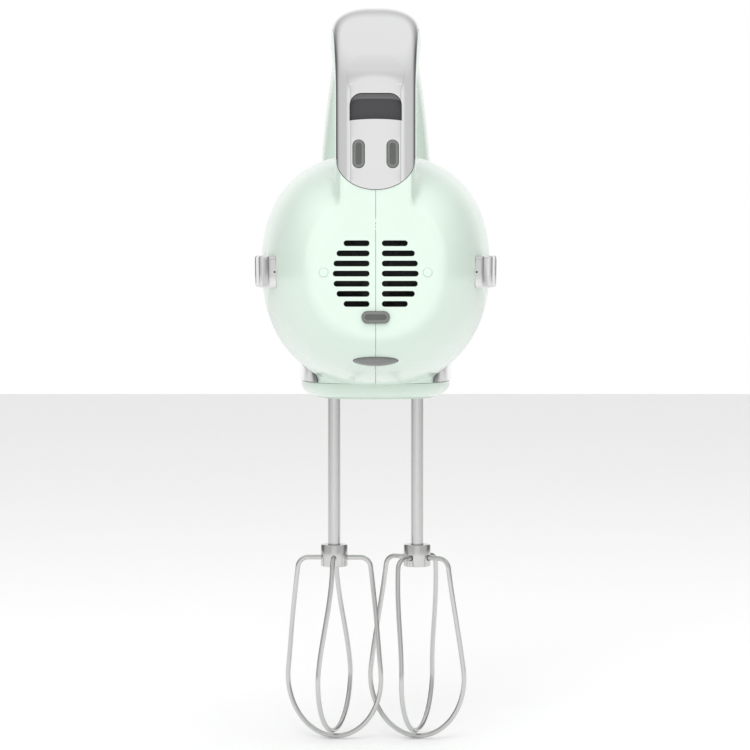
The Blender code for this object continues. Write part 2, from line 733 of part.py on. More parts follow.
def housing_hollow(material):
    hollow = body_solid("hollow", WALL, 8, 16, material)
    roof = TRIM_DEPTH + CLEARANCE + HANDLE_WALL
    join(hollow, handle_solid("bore", HANDLE_SIDE_WALL, roof, HANDLE_WALL, BORE_STEPS, 10, material))
    join(hollow, pedestal_solid("well", PEDESTAL_WALL, BASE_SEAM_Z - 5 * MM, BODY_Z - 16 * MM, material))
    for post in housing_bosses(material):
        cut(hollow, post)
    return hollow


def housing_cutters(material):
    """Everything that is taken out of the housing, with the hollow inside first."""
    channel = trim_solid("channel", CLEARANCE, 3 * MM, HANDLE_STEPS, material)
    cutters = [
        housing_hollow(material),
        cut_tongues(channel, CLEARANCE, material),
        trim_band("band_groove", CLEARANCE, material),
        bumper_solid("bumper_recess", CLEARANCE, material),
        *rear_cutters(material),
        *top_cutters(material),
    ]
    for x, y in base_screw_places():
        ends = (BASE_SEAM_Z - 5 * MM, BASE_SEAM_Z + 12 * MM)
        radius = SCREW_SHANK + CLEARANCE
        cutters.append(cylinder("screw_hole", radius, *ends, (x, y, 0), (0, 0, 1), material, 12))
    return cutters


def make_housing_half(name, side, material):
    """One half of the housing: the right half is side 1."""
    half = body_solid(name, 0, 14, 24, material)
    join(half, handle_solid("handle", 0, 0, 0, HANDLE_STEPS, 16, material))
    join(half, pedestal_solid("pedestal", 0, BASE_SEAM_Z - 5 * MM, BODY_Z - 12 * MM, material))
    far = 300 * MM
    low_x, high_x = sorted((side * SEAM_GAP / 2, side * far))
    keep_inside(half, block("side_block", (low_x, -far, BASE_SEAM_Z), (high_x, far, 2 * far), material))
    for cutter in housing_cutters(material):
        cut(half, cutter, "MANIFOLD")
    return finish_round(half, 25)


# ================= Base cover =================

def make_base_cover(material):
    low, high = BASE_SEAM_Z - CLEARANCE - BASE_COVER_HEIGHT, BASE_SEAM_Z - CLEARANCE
    steps = 3
    rings = []
    for i in range(steps + 1):
        angle = math.pi / 2 * i / steps
        z = low + BASE_COVER_ROUND * (1 - math.cos(angle))
        outline = pedestal_outline(BASE_COVER_ROUND * (1 - math.sin(angle)))
        rings.append([along_z(x, y, z) for x, y in outline])
    rings.append([along_z(x, y, high) for x, y in pedestal_outline(0)])
    cover = loft("base_cover", rings, material)
    pad_low = low - SOCKET_PAD_HEIGHT
    pad = pedestal_outline(BASE_COVER_ROUND + 1 * MM)
    join(cover, outline_prism("pad", pad, pad_low, low + 1 * MM, along_z, material))
    seat = low + BASE_SCREW_SEAT
    pocket = pedestal_solid("pocket", BASE_COVER_ROUND + 1 * MM, seat, high + 5 * MM, material)
    for x, y in base_screw_places():
        cut(pocket, cylinder("boss", 4.4 * MM, low, high, (x, y, 0), (0, 0, 1), material, 10))
    cut(cover, pocket)
    for x, y in base_screw_places():
        head, shank = BASE_SCREW_HEAD + CLEARANCE, SCREW_SHANK + CLEARANCE
        profile = [(head, low - 5 * MM), (head, seat), (shank, seat), (shank, high + 5 * MM)]
        cut(cover, turned("screw_hole", profile, (x, y, 0), (0, 0, 1), material, steps=10))
    for side in (-1, 1):
        centre = (side * BEATER_X, BEATER_Y, 0)
        hole = SPINDLE_RADIUS + 2 * CLEARANCE + BUSH_WALL
        ends = (low - 5 * MM, high + 5 * MM)
        cut(cover, cylinder("socket_hole", hole, *ends, centre, (0, 0, 1), material, 18))
    finish_round(cover)


# ================= Trim, feet, badges and inlet =================

def make_handle_trim(material):
    strip = trim_solid("handle_trim", 0, TRIM_STANDOUT, HANDLE_STEPS, material)
    cut_tongues(strip, 0, material)
    centre_z = (HEEL_PAD_LOW_Z + WINDOW_LOW_Z) / 2
    half_height = (WINDOW_LOW_Z - HEEL_PAD_LOW_Z) / 2 - CLEARANCE
    outline = rounded_box(HEEL_PAD_HALF_WIDTH, half_height, 1 * MM, (0, centre_z))
    pad = outline_prism("heel_pad", outline, HEEL_PAD_FACE_Y, LEG_Y + 1 * MM, along_y, material)
    join(strip, pad, "MANIFOLD")
    for side in (-1, 1):
        recess = [(side * FOOT_X + u, UPPER_FOOT_Z + v) for u, v in foot_outline(CLEARANCE, upright=True)]
        depths = (REAR_Y - 4 * MM, HEEL_PAD_FACE_Y + FOOT_SINK)
        cut(strip, outline_prism("foot_recess", recess, *depths, along_y, material), "MANIFOLD")
    depths = (REAR_Y - 4 * MM, LEG_Y + 10 * MM)
    cut(strip, outline_prism("window", window_outline(CLEARANCE), *depths, along_y, material), "MANIFOLD")
    for cutter in top_cutters(material):
        cut(strip, cutter, "MANIFOLD")
    cut(strip, display_pocket(material), "MANIFOLD")
    finish_round(strip, 30)


def make_pedestal_trim(material):
    band = trim_band("pedestal_trim", 0, material)
    cut(band, body_solid("body_skin", -CLEARANCE, 16, 28, material))
    finish_round(band, 30)


def foot_block(name, outline, low, material):
    """A foot with a slightly rounded rim, its face on the rest plane."""
    centre = [sum(p[k] for p in outline) / len(outline) for k in (0, 1)]
    reach = max(math.hypot(u - centre[0], v - centre[1]) for u, v in outline)
    share = 1 - FOOT_RIM / reach
    inner = [(centre[0] + (u - centre[0]) * share, centre[1] + (v - centre[1]) * share) for u, v in outline]
    rings = [(outline, low), (outline, FOOT_FACE_Y + FOOT_RIM), (inner, FOOT_FACE_Y)]
    finish_round(loft(name, [[along_y(u, v, w) for u, v in ring] for ring, w in rings], material))


def make_feet(material):
    for label, side in (("left", -1), ("right", 1)):
        outline = [(side * FOOT_X + u, UPPER_FOOT_Z + v) for u, v in foot_outline(0, upright=True)]
        foot_block("heel_foot_" + label, outline, HEEL_PAD_FACE_Y + FOOT_SINK - CLEARANCE, material)
    outline = [(u, LOWER_FOOT_Z + v) for u, v in foot_outline(0, upright=False)]
    foot_block("heel_foot_lower", outline, REAR_Y + FOOT_SINK - CLEARANCE, material)
    finish_round(bumper_solid("tail_bumper", 0, material))


def make_cord_inlet(material):
    """A dark hood in the heel's window that leans back over the cord gland."""
    body = outline_prism("cord_inlet", window_outline(0), LEG_Y + 0.6 * MM, LEG_Y + 8 * MM, along_y, material)
    steps = 6
    low, high = WINDOW_LOW_Z - 1 * MM, WINDOW_LOW_Z + WINDOW_HEIGHT - 1.2 * MM
    scoop = [(LEG_Y - 3 * MM, high), (LEG_Y - 3 * MM, low)]
    for i in range(steps + 1):
        angle = math.pi / 2 * i / steps
        y = LEG_Y + 0.6 * MM + 4.6 * MM * math.cos(angle)
        scoop.append((y, low + (high - low) * math.sin(angle)))
    ends = (-WINDOW_WIDTH / 2 + 1.3 * MM, WINDOW_WIDTH / 2 - 1.3 * MM)
    cut(body, outline_prism("scoop", scoop, *ends, lambda u, v, w: Vector((w, u, v)), material))
    middle = WINDOW_LOW_Z + WINDOW_HEIGHT / 2
    place = (0, LEG_Y + 8 * MM + CLEARANCE, middle)
    gland = tube("cord_gland", GLAND_RADIUS, GLAND_HOLE_RADIUS, 0, 7 * MM, place, (0, 1, 0), material)
    finish_round(body, 30)
    finish_round(gland)


def badge_point(y, z, out, side):
    x = body_side_x(y, z)
    return Vector((side * (x + out), y, z))


def make_badges(material):
    """A rail with four raised bars on each flank, following the body's curve."""
    length = BADGE_BAR_PITCH * (BADGE_BAR_COUNT - 1) + BADGE_BAR_LENGTH
    for label, side in (("left", -1), ("right", 1)):
        rail = (BADGE_REAR_Y, length, RAIL_HEIGHT, RAIL_THICKNESS)
        badge = badge_strip("badge_" + label, *rail, side, material)
        for i in range(BADGE_BAR_COUNT):
            bar = (BADGE_REAR_Y + i * BADGE_BAR_PITCH, BADGE_BAR_LENGTH, BADGE_HEIGHT, BADGE_THICKNESS)
            join(badge, badge_strip("bar", *bar, side, material))
        finish_round(badge, 30)


def badge_strip(name, start, length, height, thickness, side, material):
    steps = max(2, round(length / (4 * MM)))
    corners = [(CLEARANCE, share) for share in (-1, 0, 1)] + [(thickness, share) for share in (1, 0, -1)]
    rings = []
    for i in range(steps + 1):
        y = start + length * i / steps
        rings.append([badge_point(y, PLUG_Z + share * height / 2, out, side) for out, share in corners])
    return loft(name, rings, material)


# ================= Screws =================

def screw(name, place, axis, head_radius, head_height, shank_radius, length, material):
    """A pan-head screw: its head's outer face is at place and its shank runs along axis."""
    profile = [
        (head_radius * 0.75, 0),
        (head_radius, head_height * 0.35),
        (head_radius, head_height),
        (shank_radius, head_height),
        (shank_radius, length - shank_radius),
        (shank_radius * 0.3, length),
    ]
    finish_round(turned(name, profile, place, axis, material, steps=10))


def make_screws(steel, shell):
    seat = BASE_SEAM_Z - CLEARANCE - BASE_COVER_HEIGHT + BASE_SCREW_SEAT
    for i, (x, y) in enumerate(base_screw_places()):
        place = (x, y, seat - SCREW_SINK - CLEARANCE)
        sizes = (BASE_SCREW_HEAD, SCREW_SINK, SCREW_SHANK, 14 * MM)
        screw(f"base_screw_{i + 1}", place, (0, 0, 1), *sizes, steel)
    for label, side in (("left", -1), ("right", 1)):
        head = PLUG_SEAT - PLUG_THICKNESS - 2 * CLEARANCE
        place = (side * PLUG_X, REAR_Y + PLUG_THICKNESS + CLEARANCE, PLUG_Z)
        screw("rear_screw_" + label, place, (0, 1, 0), REAR_SCREW_HEAD, head, SCREW_SHANK, 15 * MM, steel)
        profile = [(PLUG_RADIUS, PLUG_THICKNESS), (PLUG_RADIUS, 0), (PLUG_RADIUS - 0.3 * MM, -0.2 * MM)]
        place = (side * PLUG_X, REAR_Y, PLUG_Z)
        finish_round(turned("screw_plug_" + label, profile, place, (0, 1, 0), shell, steps=12))


# ================= Controls =================

def flange_top_z(x, half_x):
    return bore_roof_z(abs(x) + half_x) - CLEARANCE


def make_buttons(material):
    for name, x, y, (half_x, half_y) in button_specs():
        flange_top = flange_top_z(x, half_x)
        top = HANDLE_TOP_Z + TRIM_STANDOUT + BUTTON_STANDOUT
        body = rounded_box(half_x, half_y, 2 * MM, (x, y))
        crown = rounded_box(half_x - 0.5 * MM, half_y - 0.5 * MM, 1.6 * MM, (x, y))
        low = flange_top - FLANGE_THICKNESS
        rings = [(body, low), (body, top - 0.5 * MM), (crown, top)]
        button = loft(name, [[along_z(u, v, w) for u, v in ring] for ring, w in rings], material)
        flange = rounded_box(half_x, half_y + BUTTON_FLANGE, 1 * MM, (x, y))
        join(button, outline_prism("flange", flange, low, flange_top, along_z, material))
        set_pivot(finish_round(button), (x, y, top))


def make_display(material, board):
    outline = rounded_box(DISPLAY_HALF[0], DISPLAY_HALF[1], 2 * MM)
    ends = (-DISPLAY_THICKNESS - CLEARANCE, 0.5 * MM)
    lens = outline_prism("display_lens", outline, *ends, display_place, material)
    lowest = min(flange_top_z(x, half_x) for _, x, _, (half_x, _) in button_specs()) - FLANGE_THICKNESS
    top = lowest - BUTTON_TRAVEL - 1.8 * MM
    half = LEG_HALF_WIDTH - 4 * MM
    block("control_board", (-half, -14 * MM, top - 1.6 * MM), (half, 24 * MM, top), board)
    finish_round(lens)


def eject_low_z():
    return PIN_TOP_Z + CLEARANCE


def make_ejector(dark, steel, nylon):
    surface = handle_top_z(EJECT_Y)
    top = surface + EJECT_STANDOUT
    low = surface - 9 * MM
    body = rounded_box(EJECT_HALF_WIDTH, EJECT_HALF_LENGTH, 3 * MM, (0, EJECT_Y))
    crown = rounded_box(EJECT_HALF_WIDTH - 0.8 * MM, EJECT_HALF_LENGTH - 0.8 * MM, 2.2 * MM, (0, EJECT_Y))
    rings = [(body, low), (body, top - 0.8 * MM), (crown, top)]
    cap = loft("eject_button", [[along_z(u, v, w) for u, v in ring] for ring, w in rings], dark)
    fork_low = eject_low_z()
    fork_high = fork_low + FORK_THICKNESS
    arm = BEATER_X + 4 * MM
    outline = [(-arm, BEATER_Y - 4 * MM), (arm, BEATER_Y - 4 * MM), (arm, BEATER_Y + 4 * MM)]
    outline += [(6 * MM, EJECT_Y + 5 * MM), (-6 * MM, EJECT_Y + 5 * MM), (-arm, BEATER_Y + 4 * MM)]
    fork = outline_prism("eject_fork", outline, fork_low, fork_high, along_z, nylon)
    centre = (0, EJECT_Y, 0)
    join(fork, cylinder("rod", STEM_RADIUS, fork_high - 1 * MM, low - CLEARANCE, centre, (0, 0, 1), nylon))
    for piece in (cap, fork):
        set_pivot(finish_round(piece), (0, EJECT_Y, top))
    make_spring(steel)


def make_spring(material):
    low = BRIDGE_LOW_Z + PLATE_THICKNESS + WIRE_RADIUS
    high = eject_low_z() - WIRE_RADIUS
    steps = round(SPRING_TURNS * 8)
    path = []
    for i in range(steps + 1):
        angle = 2 * math.pi * SPRING_TURNS * i / steps
        z = low + (high - low) * i / steps
        path.append(Vector((SPRING_RADIUS * math.cos(angle), EJECT_Y + SPRING_RADIUS * math.sin(angle), z)))
    finish_round(wire("eject_spring", path, SPRING_WIRE, material, sides=5))


# ================= Motor =================

def y_cylinder(name, profile, material, steps=20, hollow=True):
    return finish_round(turned(name, profile, (0, 0, MOTOR_Z), (0, 1, 0), material, steps, hollow))


def ring_about_y(name, outer, inner, low, high, material, steps=20):
    return y_cylinder(name, [(outer, low), (outer, high), (inner, high), (inner, low)], material, steps)


def make_motor_can(material):
    """An open-ended can with a bearing hole in each end."""
    inside = MOTOR_RADIUS - MOTOR_WALL
    hole = SHAFT_RADIUS + CLEARANCE + BUSH_WALL + CLEARANCE
    profile = [
        (hole, MOTOR_REAR_Y),
        (MOTOR_RADIUS, MOTOR_REAR_Y),
        (MOTOR_RADIUS, MOTOR_FRONT_Y),
        (hole, MOTOR_FRONT_Y),
        (hole, MOTOR_FRONT_Y - MOTOR_WALL),
        (inside, MOTOR_FRONT_Y - MOTOR_WALL),
        (inside, MOTOR_REAR_Y + MOTOR_WALL),
        (hole, MOTOR_REAR_Y + MOTOR_WALL),
    ]
    y_cylinder("motor_can", profile, material, steps=24)


def magnet_outline(side, low_radius, high_radius):
    """A 130 degree arc above or below the armature."""
    steps = 10
    half = math.radians(65)
    middle = side * math.pi / 2
    angles = [middle - half + 2 * half * i / steps for i in range(steps + 1)]
    outer = [(high_radius * math.cos(a), MOTOR_Z + high_radius * math.sin(a)) for a in angles]
    inner = [(low_radius * math.cos(a), MOTOR_Z + low_radius * math.sin(a)) for a in reversed(angles)]
    return outer + inner


def armature_radius():
    return MOTOR_RADIUS - MOTOR_WALL - CLEARANCE - MAGNET_DEPTH - AIR_GAP


def make_armature(steel, copper):
    """A slotted core on the shaft, with a ring of windings at each end."""
    slots = 10
    radius = armature_radius()
    outline = []
    for i in range(slots):
        for share, depth in ((0.05, 0.86), (0.2, 1.0), (0.8, 1.0), (0.95, 0.86), (1.0, 0.62)):
            angle = 2 * math.pi * (i + share) / slots
            outline.append((radius * depth * math.cos(angle), MOTOR_Z + radius * depth * math.sin(angle)))
    low, high = MOTOR_REAR_Y + 20 * MM, MOTOR_FRONT_Y - 12 * MM
    core = outline_prism("armature_core", outline, low, high, along_y, steel)
    bore = SHAFT_RADIUS + CLEARANCE
    cut(core, cylinder("bore", bore, low - 5 * MM, high + 5 * MM, (0, 0, MOTOR_Z), (0, 1, 0), steel, 16))
    winding = 5 * MM
    pieces = [core]
    for name, start in (("winding_rear", low - CLEARANCE - winding), ("winding_front", high + CLEARANCE)):
        pieces.append(ring_about_y(name, radius * 0.8, bore + 2 * MM, start, start + winding, copper))
    return pieces


def make_commutator(copper):
    ends = (MOTOR_REAR_Y + 4 * MM, MOTOR_REAR_Y + 13 * MM)
    return ring_about_y("commutator", COMMUTATOR_RADIUS, SHAFT_RADIUS + CLEARANCE, *ends, copper, steps=20)


def make_brushes(dark):
    half = 2.2 * MM
    for label, side in (("left", -1), ("right", 1)):
        x0, x1 = sorted((side * (COMMUTATOR_RADIUS + CLEARANCE), side * (COMMUTATOR_RADIUS + 9 * MM)))
        low_corner = (x0, MOTOR_REAR_Y + 5.5 * MM, MOTOR_Z - half)
        high_corner = (x1, MOTOR_REAR_Y + 11.5 * MM, MOTOR_Z + half)
        block("brush_" + label, low_corner, high_corner, dark)


def worm_radius(phase):
    """The worm's radius, phase eighths of a thread pitch along from the middle of a thread."""
    if phase % 8 in (7, 0, 1):
        return WORM_PITCH_RADIUS + ADDENDUM
    return WORM_PITCH_RADIUS - DEDENDUM


def make_motor_shaft(material):
    """The armature shaft, with the worm cut in its front end: a helix of eight stations to a thread pitch."""
    around = 8 * WORM_STARTS
    step = TOOTH_PITCH / 8
    half_count = round(WORM_LENGTH / 2 / step)
    stations = [(SHAFT_REAR_Y, None), (BEATER_Y - half_count * step - 1.5 * MM, None)]
    stations += [(BEATER_Y + k * step, k) for k in range(-half_count, half_count + 1)]
    stations += [(BEATER_Y + half_count * step + 1.5 * MM, None), (FRAME_FRONT_Y + 2 * MM, None)]
    rings = []
    for y, k in stations:
        ring = []
        for i in range(around):
            angle = 2 * math.pi * i / around
            radius = SHAFT_RADIUS if k is None else worm_radius(k - i)
            ring.append(Vector((radius * math.sin(angle), y, MOTOR_Z + radius * math.cos(angle))))
        rings.append(ring)
    return loft("motor_shaft", rings, material)


def make_fan(material):
    hub = SHAFT_RADIUS + CLEARANCE
    high = FAN_REAR_Y + FAN_WIDTH
    disc_thickness = 1.4 * MM
    profile = [
        (hub, FAN_REAR_Y),
        (hub + 3 * MM, FAN_REAR_Y),
        (hub + 3 * MM, high - disc_thickness),
        (FAN_RADIUS, high - disc_thickness),
        (FAN_RADIUS, high),
        (hub, high),
    ]
    fan = y_cylinder("cooling_fan", profile, material, steps=18)
    for i in range(FAN_BLADES):
        blade_low = (hub + 2 * MM, FAN_REAR_Y + 1 * MM, -0.6 * MM)
        blade_high = (FAN_RADIUS - 1 * MM, high - disc_thickness / 2, 0.6 * MM)
        blade = block("blade", blade_low, blade_high, material)
        turn = Matrix.Rotation(2 * math.pi * i / FAN_BLADES, 4, "Y")
        blade.data.transform(Matrix.Translation((0, 0, MOTOR_Z)) @ turn)
        join(fan, blade)
    return fan


def make_magnets(material):
    outer = MOTOR_RADIUS - MOTOR_WALL - CLEARANCE
    ends = (MOTOR_REAR_Y + 16 * MM, MOTOR_FRONT_Y - 8 * MM)
    for label, side in (("lower", -1), ("upper", 1)):
        outline = magnet_outline(side, outer - MAGNET_DEPTH, outer)
        finish_round(outline_prism("magnet_" + label, outline, *ends, along_y, material))


def make_bearings(material):
    inner = SHAFT_RADIUS + CLEARANCE
    rear = (MOTOR_REAR_Y - 4 * MM, MOTOR_REAR_Y + 2 * MM)
    front = (MOTOR_FRONT_Y - 1.5 * MM, FRAME_REAR_Y + PLATE_THICKNESS)
    for name, ends in (("motor_bearing_rear", rear), ("motor_bearing_front", front)):
        ring_about_y(name, inner + BUSH_WALL, inner, *ends, material, 14)


def make_motor(materials):
    steel, copper, dark = (materials[k] for k in ("steel", "copper", "dark"))
    make_motor_can(steel)
    make_magnets(dark)
    make_brushes(dark)
    make_bearings(materials["brass"])
    rotor = [make_motor_shaft(steel), *make_armature(steel, copper), make_commutator(copper), make_fan(dark)]
    for piece in rotor:
        set_pivot(piece, (0, 0, MOTOR_Z))


# ================= Gearbox =================

def make_gearbox_frame(material):
    """A closed frame round the wheels: floor, bridge and two end walls."""
    top = BRIDGE_LOW_Z + PLATE_THICKNESS
    half = FRAME_HALF_WIDTH
    frame = block("gearbox_frame", (-half, FRAME_REAR_Y, PLATE_LOW_Z), (half, FRAME_FRONT_Y, top), material)
    inside_low = (-half - 5 * MM, FRAME_REAR_Y + PLATE_THICKNESS, PLATE_LOW_Z + PLATE_THICKNESS)
    inside_high = (half + 5 * MM, FRAME_FRONT_Y - PLATE_THICKNESS, BRIDGE_LOW_Z)
    cut(frame, block("inside", inside_low, inside_high, material))
    rear_hole = SHAFT_RADIUS + 2 * CLEARANCE + BUSH_WALL
    front_hole = SHAFT_RADIUS + CLEARANCE
    middle_y = (FRAME_REAR_Y + FRAME_FRONT_Y) / 2
    for hole, span in (
        (rear_hole, (FRAME_REAR_Y - 5 * MM, middle_y)),
        (front_hole, (middle_y, FRAME_FRONT_Y + 5 * MM)),
    ):
        cut(frame, cylinder("shaft_hole", hole, *span, (0, 0, MOTOR_Z), (0, 1, 0), material, 14))
    for side in (-1, 1):
        centre = (side * BEATER_X, BEATER_Y, 0)
        lower = SPINDLE_RADIUS + CLEARANCE
        upper = SPINDLE_TOP_RADIUS + CLEARANCE
        middle = (PLATE_LOW_Z + BRIDGE_LOW_Z) / 2
        cut(frame, cylinder("hole", lower, PLATE_LOW_Z - 5 * MM, middle, centre, (0, 0, 1), material, 14))
        cut(frame, cylinder("hole", upper, middle, top + 5 * MM, centre, (0, 0, 1), material, 14))


def wheel_outline(turn):
    """One section of a worm wheel whose first tooth is centred at the angle turn."""
    thick = TOOTH_PITCH * 5 / 8 - BACKLASH
    slope = TOOTH_PITCH / 8 / (ADDENDUM + DEDENDUM) * 2
    root = WHEEL_PITCH_RADIUS - DEDENDUM
    tip = WHEEL_PITCH_RADIUS + ADDENDUM
    points = []
    for i in range(WHEEL_TEETH):
        centre = turn + 2 * math.pi * i / WHEEL_TEETH
        root_half = (thick / 2 + slope * DEDENDUM / 2) / root
        tip_half = (thick / 2 - slope * ADDENDUM / 2) / tip
        for radius, angle in ((root, -root_half), (tip, -tip_half), (tip, tip_half), (root, root_half)):
            points.append((radius * math.cos(centre + angle), radius * math.sin(centre + angle)))
    return points


def make_wheel(name, side, material):
    lean = WORM_LEAD / (2 * math.pi * WORM_PITCH_RADIUS) / WHEEL_PITCH_RADIUS
    layers = 2
    rings = []
    for i in range(layers + 1):
        height = WHEEL_WIDTH * (i / layers - 0.5)
        outline = wheel_outline(lean * height)
        rings.append([along_z(side * BEATER_X + u, BEATER_Y + v, MOTOR_Z + height) for u, v in outline])
    wheel = loft(name, rings, material)
    bore = SPINDLE_RADIUS + CLEARANCE
    ends = (MOTOR_Z - WHEEL_WIDTH, MOTOR_Z + WHEEL_WIDTH)
    return cut(wheel, cylinder("bore", bore, *ends, (side * BEATER_X, BEATER_Y, 0), (0, 0, 1), material, 14))


def make_spindle(name, centre, material):
    """A hollow spindle: the beater's shank pushes in from below and the ejector pin waits above."""
    bore = SHANK_RADIUS + CLEARANCE
    low = BASE_SEAM_Z - BASE_COVER_HEIGHT
    shoulder = MOTOR_Z + WHEEL_WIDTH / 2 + 1 * MM
    profile = [
        (SPINDLE_RADIUS, low),
        (SPINDLE_RADIUS, shoulder),
        (SPINDLE_TOP_RADIUS, shoulder),
        (SPINDLE_TOP_RADIUS, SPINDLE_TOP_Z),
        (bore, SPINDLE_TOP_Z),
        (bore, low),
    ]
    return finish_round(turned(name, profile, centre, (0, 0, 1), material, 16, hollow=True))


def make_socket(label, centre, material):
    inner = SPINDLE_RADIUS + CLEARANCE
    low = BASE_SEAM_Z - BASE_COVER_HEIGHT - CLEARANCE - SOCKET_PAD_HEIGHT - SOCKET_STANDOUT
    ends = (low, low + SOCKET_LENGTH)
    tube("beater_socket_" + label, inner + BUSH_WALL, inner, *ends, centre, (0, 0, 1), material, 18)


def make_drives(materials):
    """Everything on the two upright spindles, one side after the other."""
    make_gearbox_frame(materials["nylon"])
    steel, nylon, rubber = (materials[k] for k in ("steel", "nylon", "rubber"))
    for label, side in (("left", -1), ("right", 1)):
        centre = (side * BEATER_X, BEATER_Y, 0)
        make_socket(label, centre, rubber)
        spindle = make_spindle("spindle_" + label, centre, steel)
        wheel = make_wheel("worm_wheel_" + label, side, nylon)
        ends = (SHANK_TOP_Z + CLEARANCE, PIN_TOP_Z)
        pin = finish_round(cylinder("eject_pin_" + label, PIN_RADIUS, *ends, centre, (0, 0, 1), steel, 16))
        for piece in (spindle, wheel, pin):
            set_pivot(piece, (centre[0], centre[1], MOTOR_Z))


# ================= Beaters =================

def wire(name, path, radius, material, sides=7):
    """Sweeps a round wire along a path."""
    rings = []
    across = None
    for i, point in enumerate(path):
        before, after = path[max(0, i - 1)], path[min(len(path) - 1, i + 1)]
        along = (after - before).normalized()
        if across is None:
            across = along.orthogonal().normalized()
        across = (across - along * across.dot(along)).normalized()
        up = along.cross(across)
        angles = [2 * math.pi * k / sides for k in range(sides)]
        rings.append([point + radius * (across * math.cos(a) + up * math.sin(a)) for a in angles])
    return loft(name, rings, material)


def loop_half(tip_z):
    """(radius, height) down one half of a wire loop, from its end in the collar to the tip."""
    points = [(COLLAR_RADIUS - WIRE_HOLE_DEPTH, WIRE_EXIT_Z), (COLLAR_RADIUS + 1 * MM, WIRE_EXIT_Z)]
    turn = math.radians(KNEE_TURN)
    centre = CAGE_TOP_RADIUS - KNEE_RADIUS * math.sin(turn)
    for i in range(4):
        angle = turn * i / 3
        radius = centre + KNEE_RADIUS * math.sin(angle)
        points.append((radius, WIRE_EXIT_Z - KNEE_RADIUS * (1 - math.cos(angle))))
    points += flank(points[-1], curved_end(tip_z)[0], 4) + curved_end(tip_z)
    return points


def flank(start, end, steps):
    """The points strictly between two ends of a straight stretch."""
    shares = [i / steps for i in range(1, steps)]
    return [tuple(a + (b - a) * share for a, b in zip(start, end)) for share in shares]


def curved_end(tip_z):
    """(radius, height) of the ellipse from the foot of the straight flank to the tip."""
    steps = 7
    points = []
    for i in range(steps + 1):
        angle = math.radians(-CAGE_TANGENT + (90 + CAGE_TANGENT) * i / steps)
        drop = (CAGE_WIDEST_Z - tip_z) * math.sin(angle)
        points.append((CAGE_RADIUS * math.cos(angle), CAGE_WIDEST_Z - drop))
    return points


def loop_path(centre, phase, tip_z):
    """The loop's full path: down one side, through the tip and up the other, twisting with height."""
    half = loop_half(tip_z)
    path = []
    for sign, points in ((1, half), (-1, half[-2::-1])):
        for radius, z in points:
            share = ease((WIRE_EXIT_Z - z) / (WIRE_EXIT_Z - CAGE_WIDEST_Z))
            angle = math.radians(phase[0] + (phase[1] - phase[0]) * share)
            x = centre[0] + sign * radius * math.cos(angle)
            y = centre[1] + sign * radius * math.sin(angle)
            path.append(Vector((x, y, z)))
    return path


def make_beater(label, side, phase, material):
    centre = (side * BEATER_X, BEATER_Y, 0)
    name = "beater_" + label
    low, high = COLLAR_TOP_Z - COLLAR_HEIGHT, COLLAR_TOP_Z
    profile = [
        (SHANK_RADIUS, low + 0.5 * MM),
        (SHANK_RADIUS, SHANK_TOP_Z - 1 * MM),
        (SHANK_RADIUS - 0.8 * MM, SHANK_TOP_Z),
    ]
    shaft = turned(name + "_shaft", profile, centre, (0, 0, 1), material, 16)
    inner = SHANK_RADIUS + CLEARANCE
    edge = 0.6 * MM
    profile = [
        (COLLAR_RADIUS, low + edge),
        (COLLAR_RADIUS, high - edge),
        (COLLAR_RADIUS - edge, high),
        (inner, high),
        (inner, low),
        (COLLAR_RADIUS - edge, low),
    ]
    collar = turned(name + "_collar", profile, centre, (0, 0, 1), material, 18, hollow=True)
    loops = []
    for index, rise in enumerate((0, LOOP_RISE)):
        turned_phase = [angle + 90 * index for angle in phase]
        path = loop_path(centre, turned_phase, WIRE_RADIUS + rise)
        loops.append(wire(f"{name}_loop_{index + 1}", path, WIRE_RADIUS, material))
        angle = math.radians(turned_phase[0])
        axis = (math.cos(angle), math.sin(angle), 0)
        for direction in (-1, 1):
            reach = (COLLAR_RADIUS - WIRE_HOLE_DEPTH - CLEARANCE, COLLAR_RADIUS + 5 * MM)
            place = (centre[0], centre[1], WIRE_EXIT_Z)
            along = tuple(direction * part for part in axis)
            cut(collar, cylinder("wire_hole", WIRE_RADIUS + CLEARANCE, *reach, place, along, material, 8))
    for piece in (shaft, collar, *loops):
        set_pivot(finish_round(piece), (centre[0], centre[1], COLLAR_TOP_Z))


# ================= Assembly =================

def set_pivot(obj, point):
    """Moves an object's origin to a point without moving its shape."""
    obj.data.transform(Matrix.Translation(-Vector(point)))
    obj.location = point
    return obj


def clear_scene():
    for obj in list(bpy.data.objects):
        bpy.data.objects.remove(obj)


def main():
    clear_scene()
    materials = make_materials()
    shell, chrome, dark, steel = (materials[k] for k in ("shell", "chrome", "dark", "steel"))
    make_housing_half("housing_left", -1, shell)
    make_housing_half("housing_right", 1, shell)
    make_base_cover(shell)
    make_handle_trim(chrome)
    make_pedestal_trim(chrome)
    make_feet(materials["rubber"])
    make_cord_inlet(dark)
    make_badges(chrome)
    make_screws(steel, shell)
    make_buttons(dark)
    make_display(dark, materials["board"])
    make_ejector(dark, steel, materials["nylon"])
    make_motor(materials)
    make_drives(materials)
    make_beater("left", -1, LEFT_PHASE, steel)
    make_beater("right", 1, RIGHT_PHASE, steel)


main()
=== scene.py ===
"""The looks of the hand mixer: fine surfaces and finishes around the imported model.

Everything is in metres in the model's frame: +Z up, the heel towards -Y, the nose towards +Y.
"""

import math

import bmesh
import bpy
from mathutils import Matrix, Vector


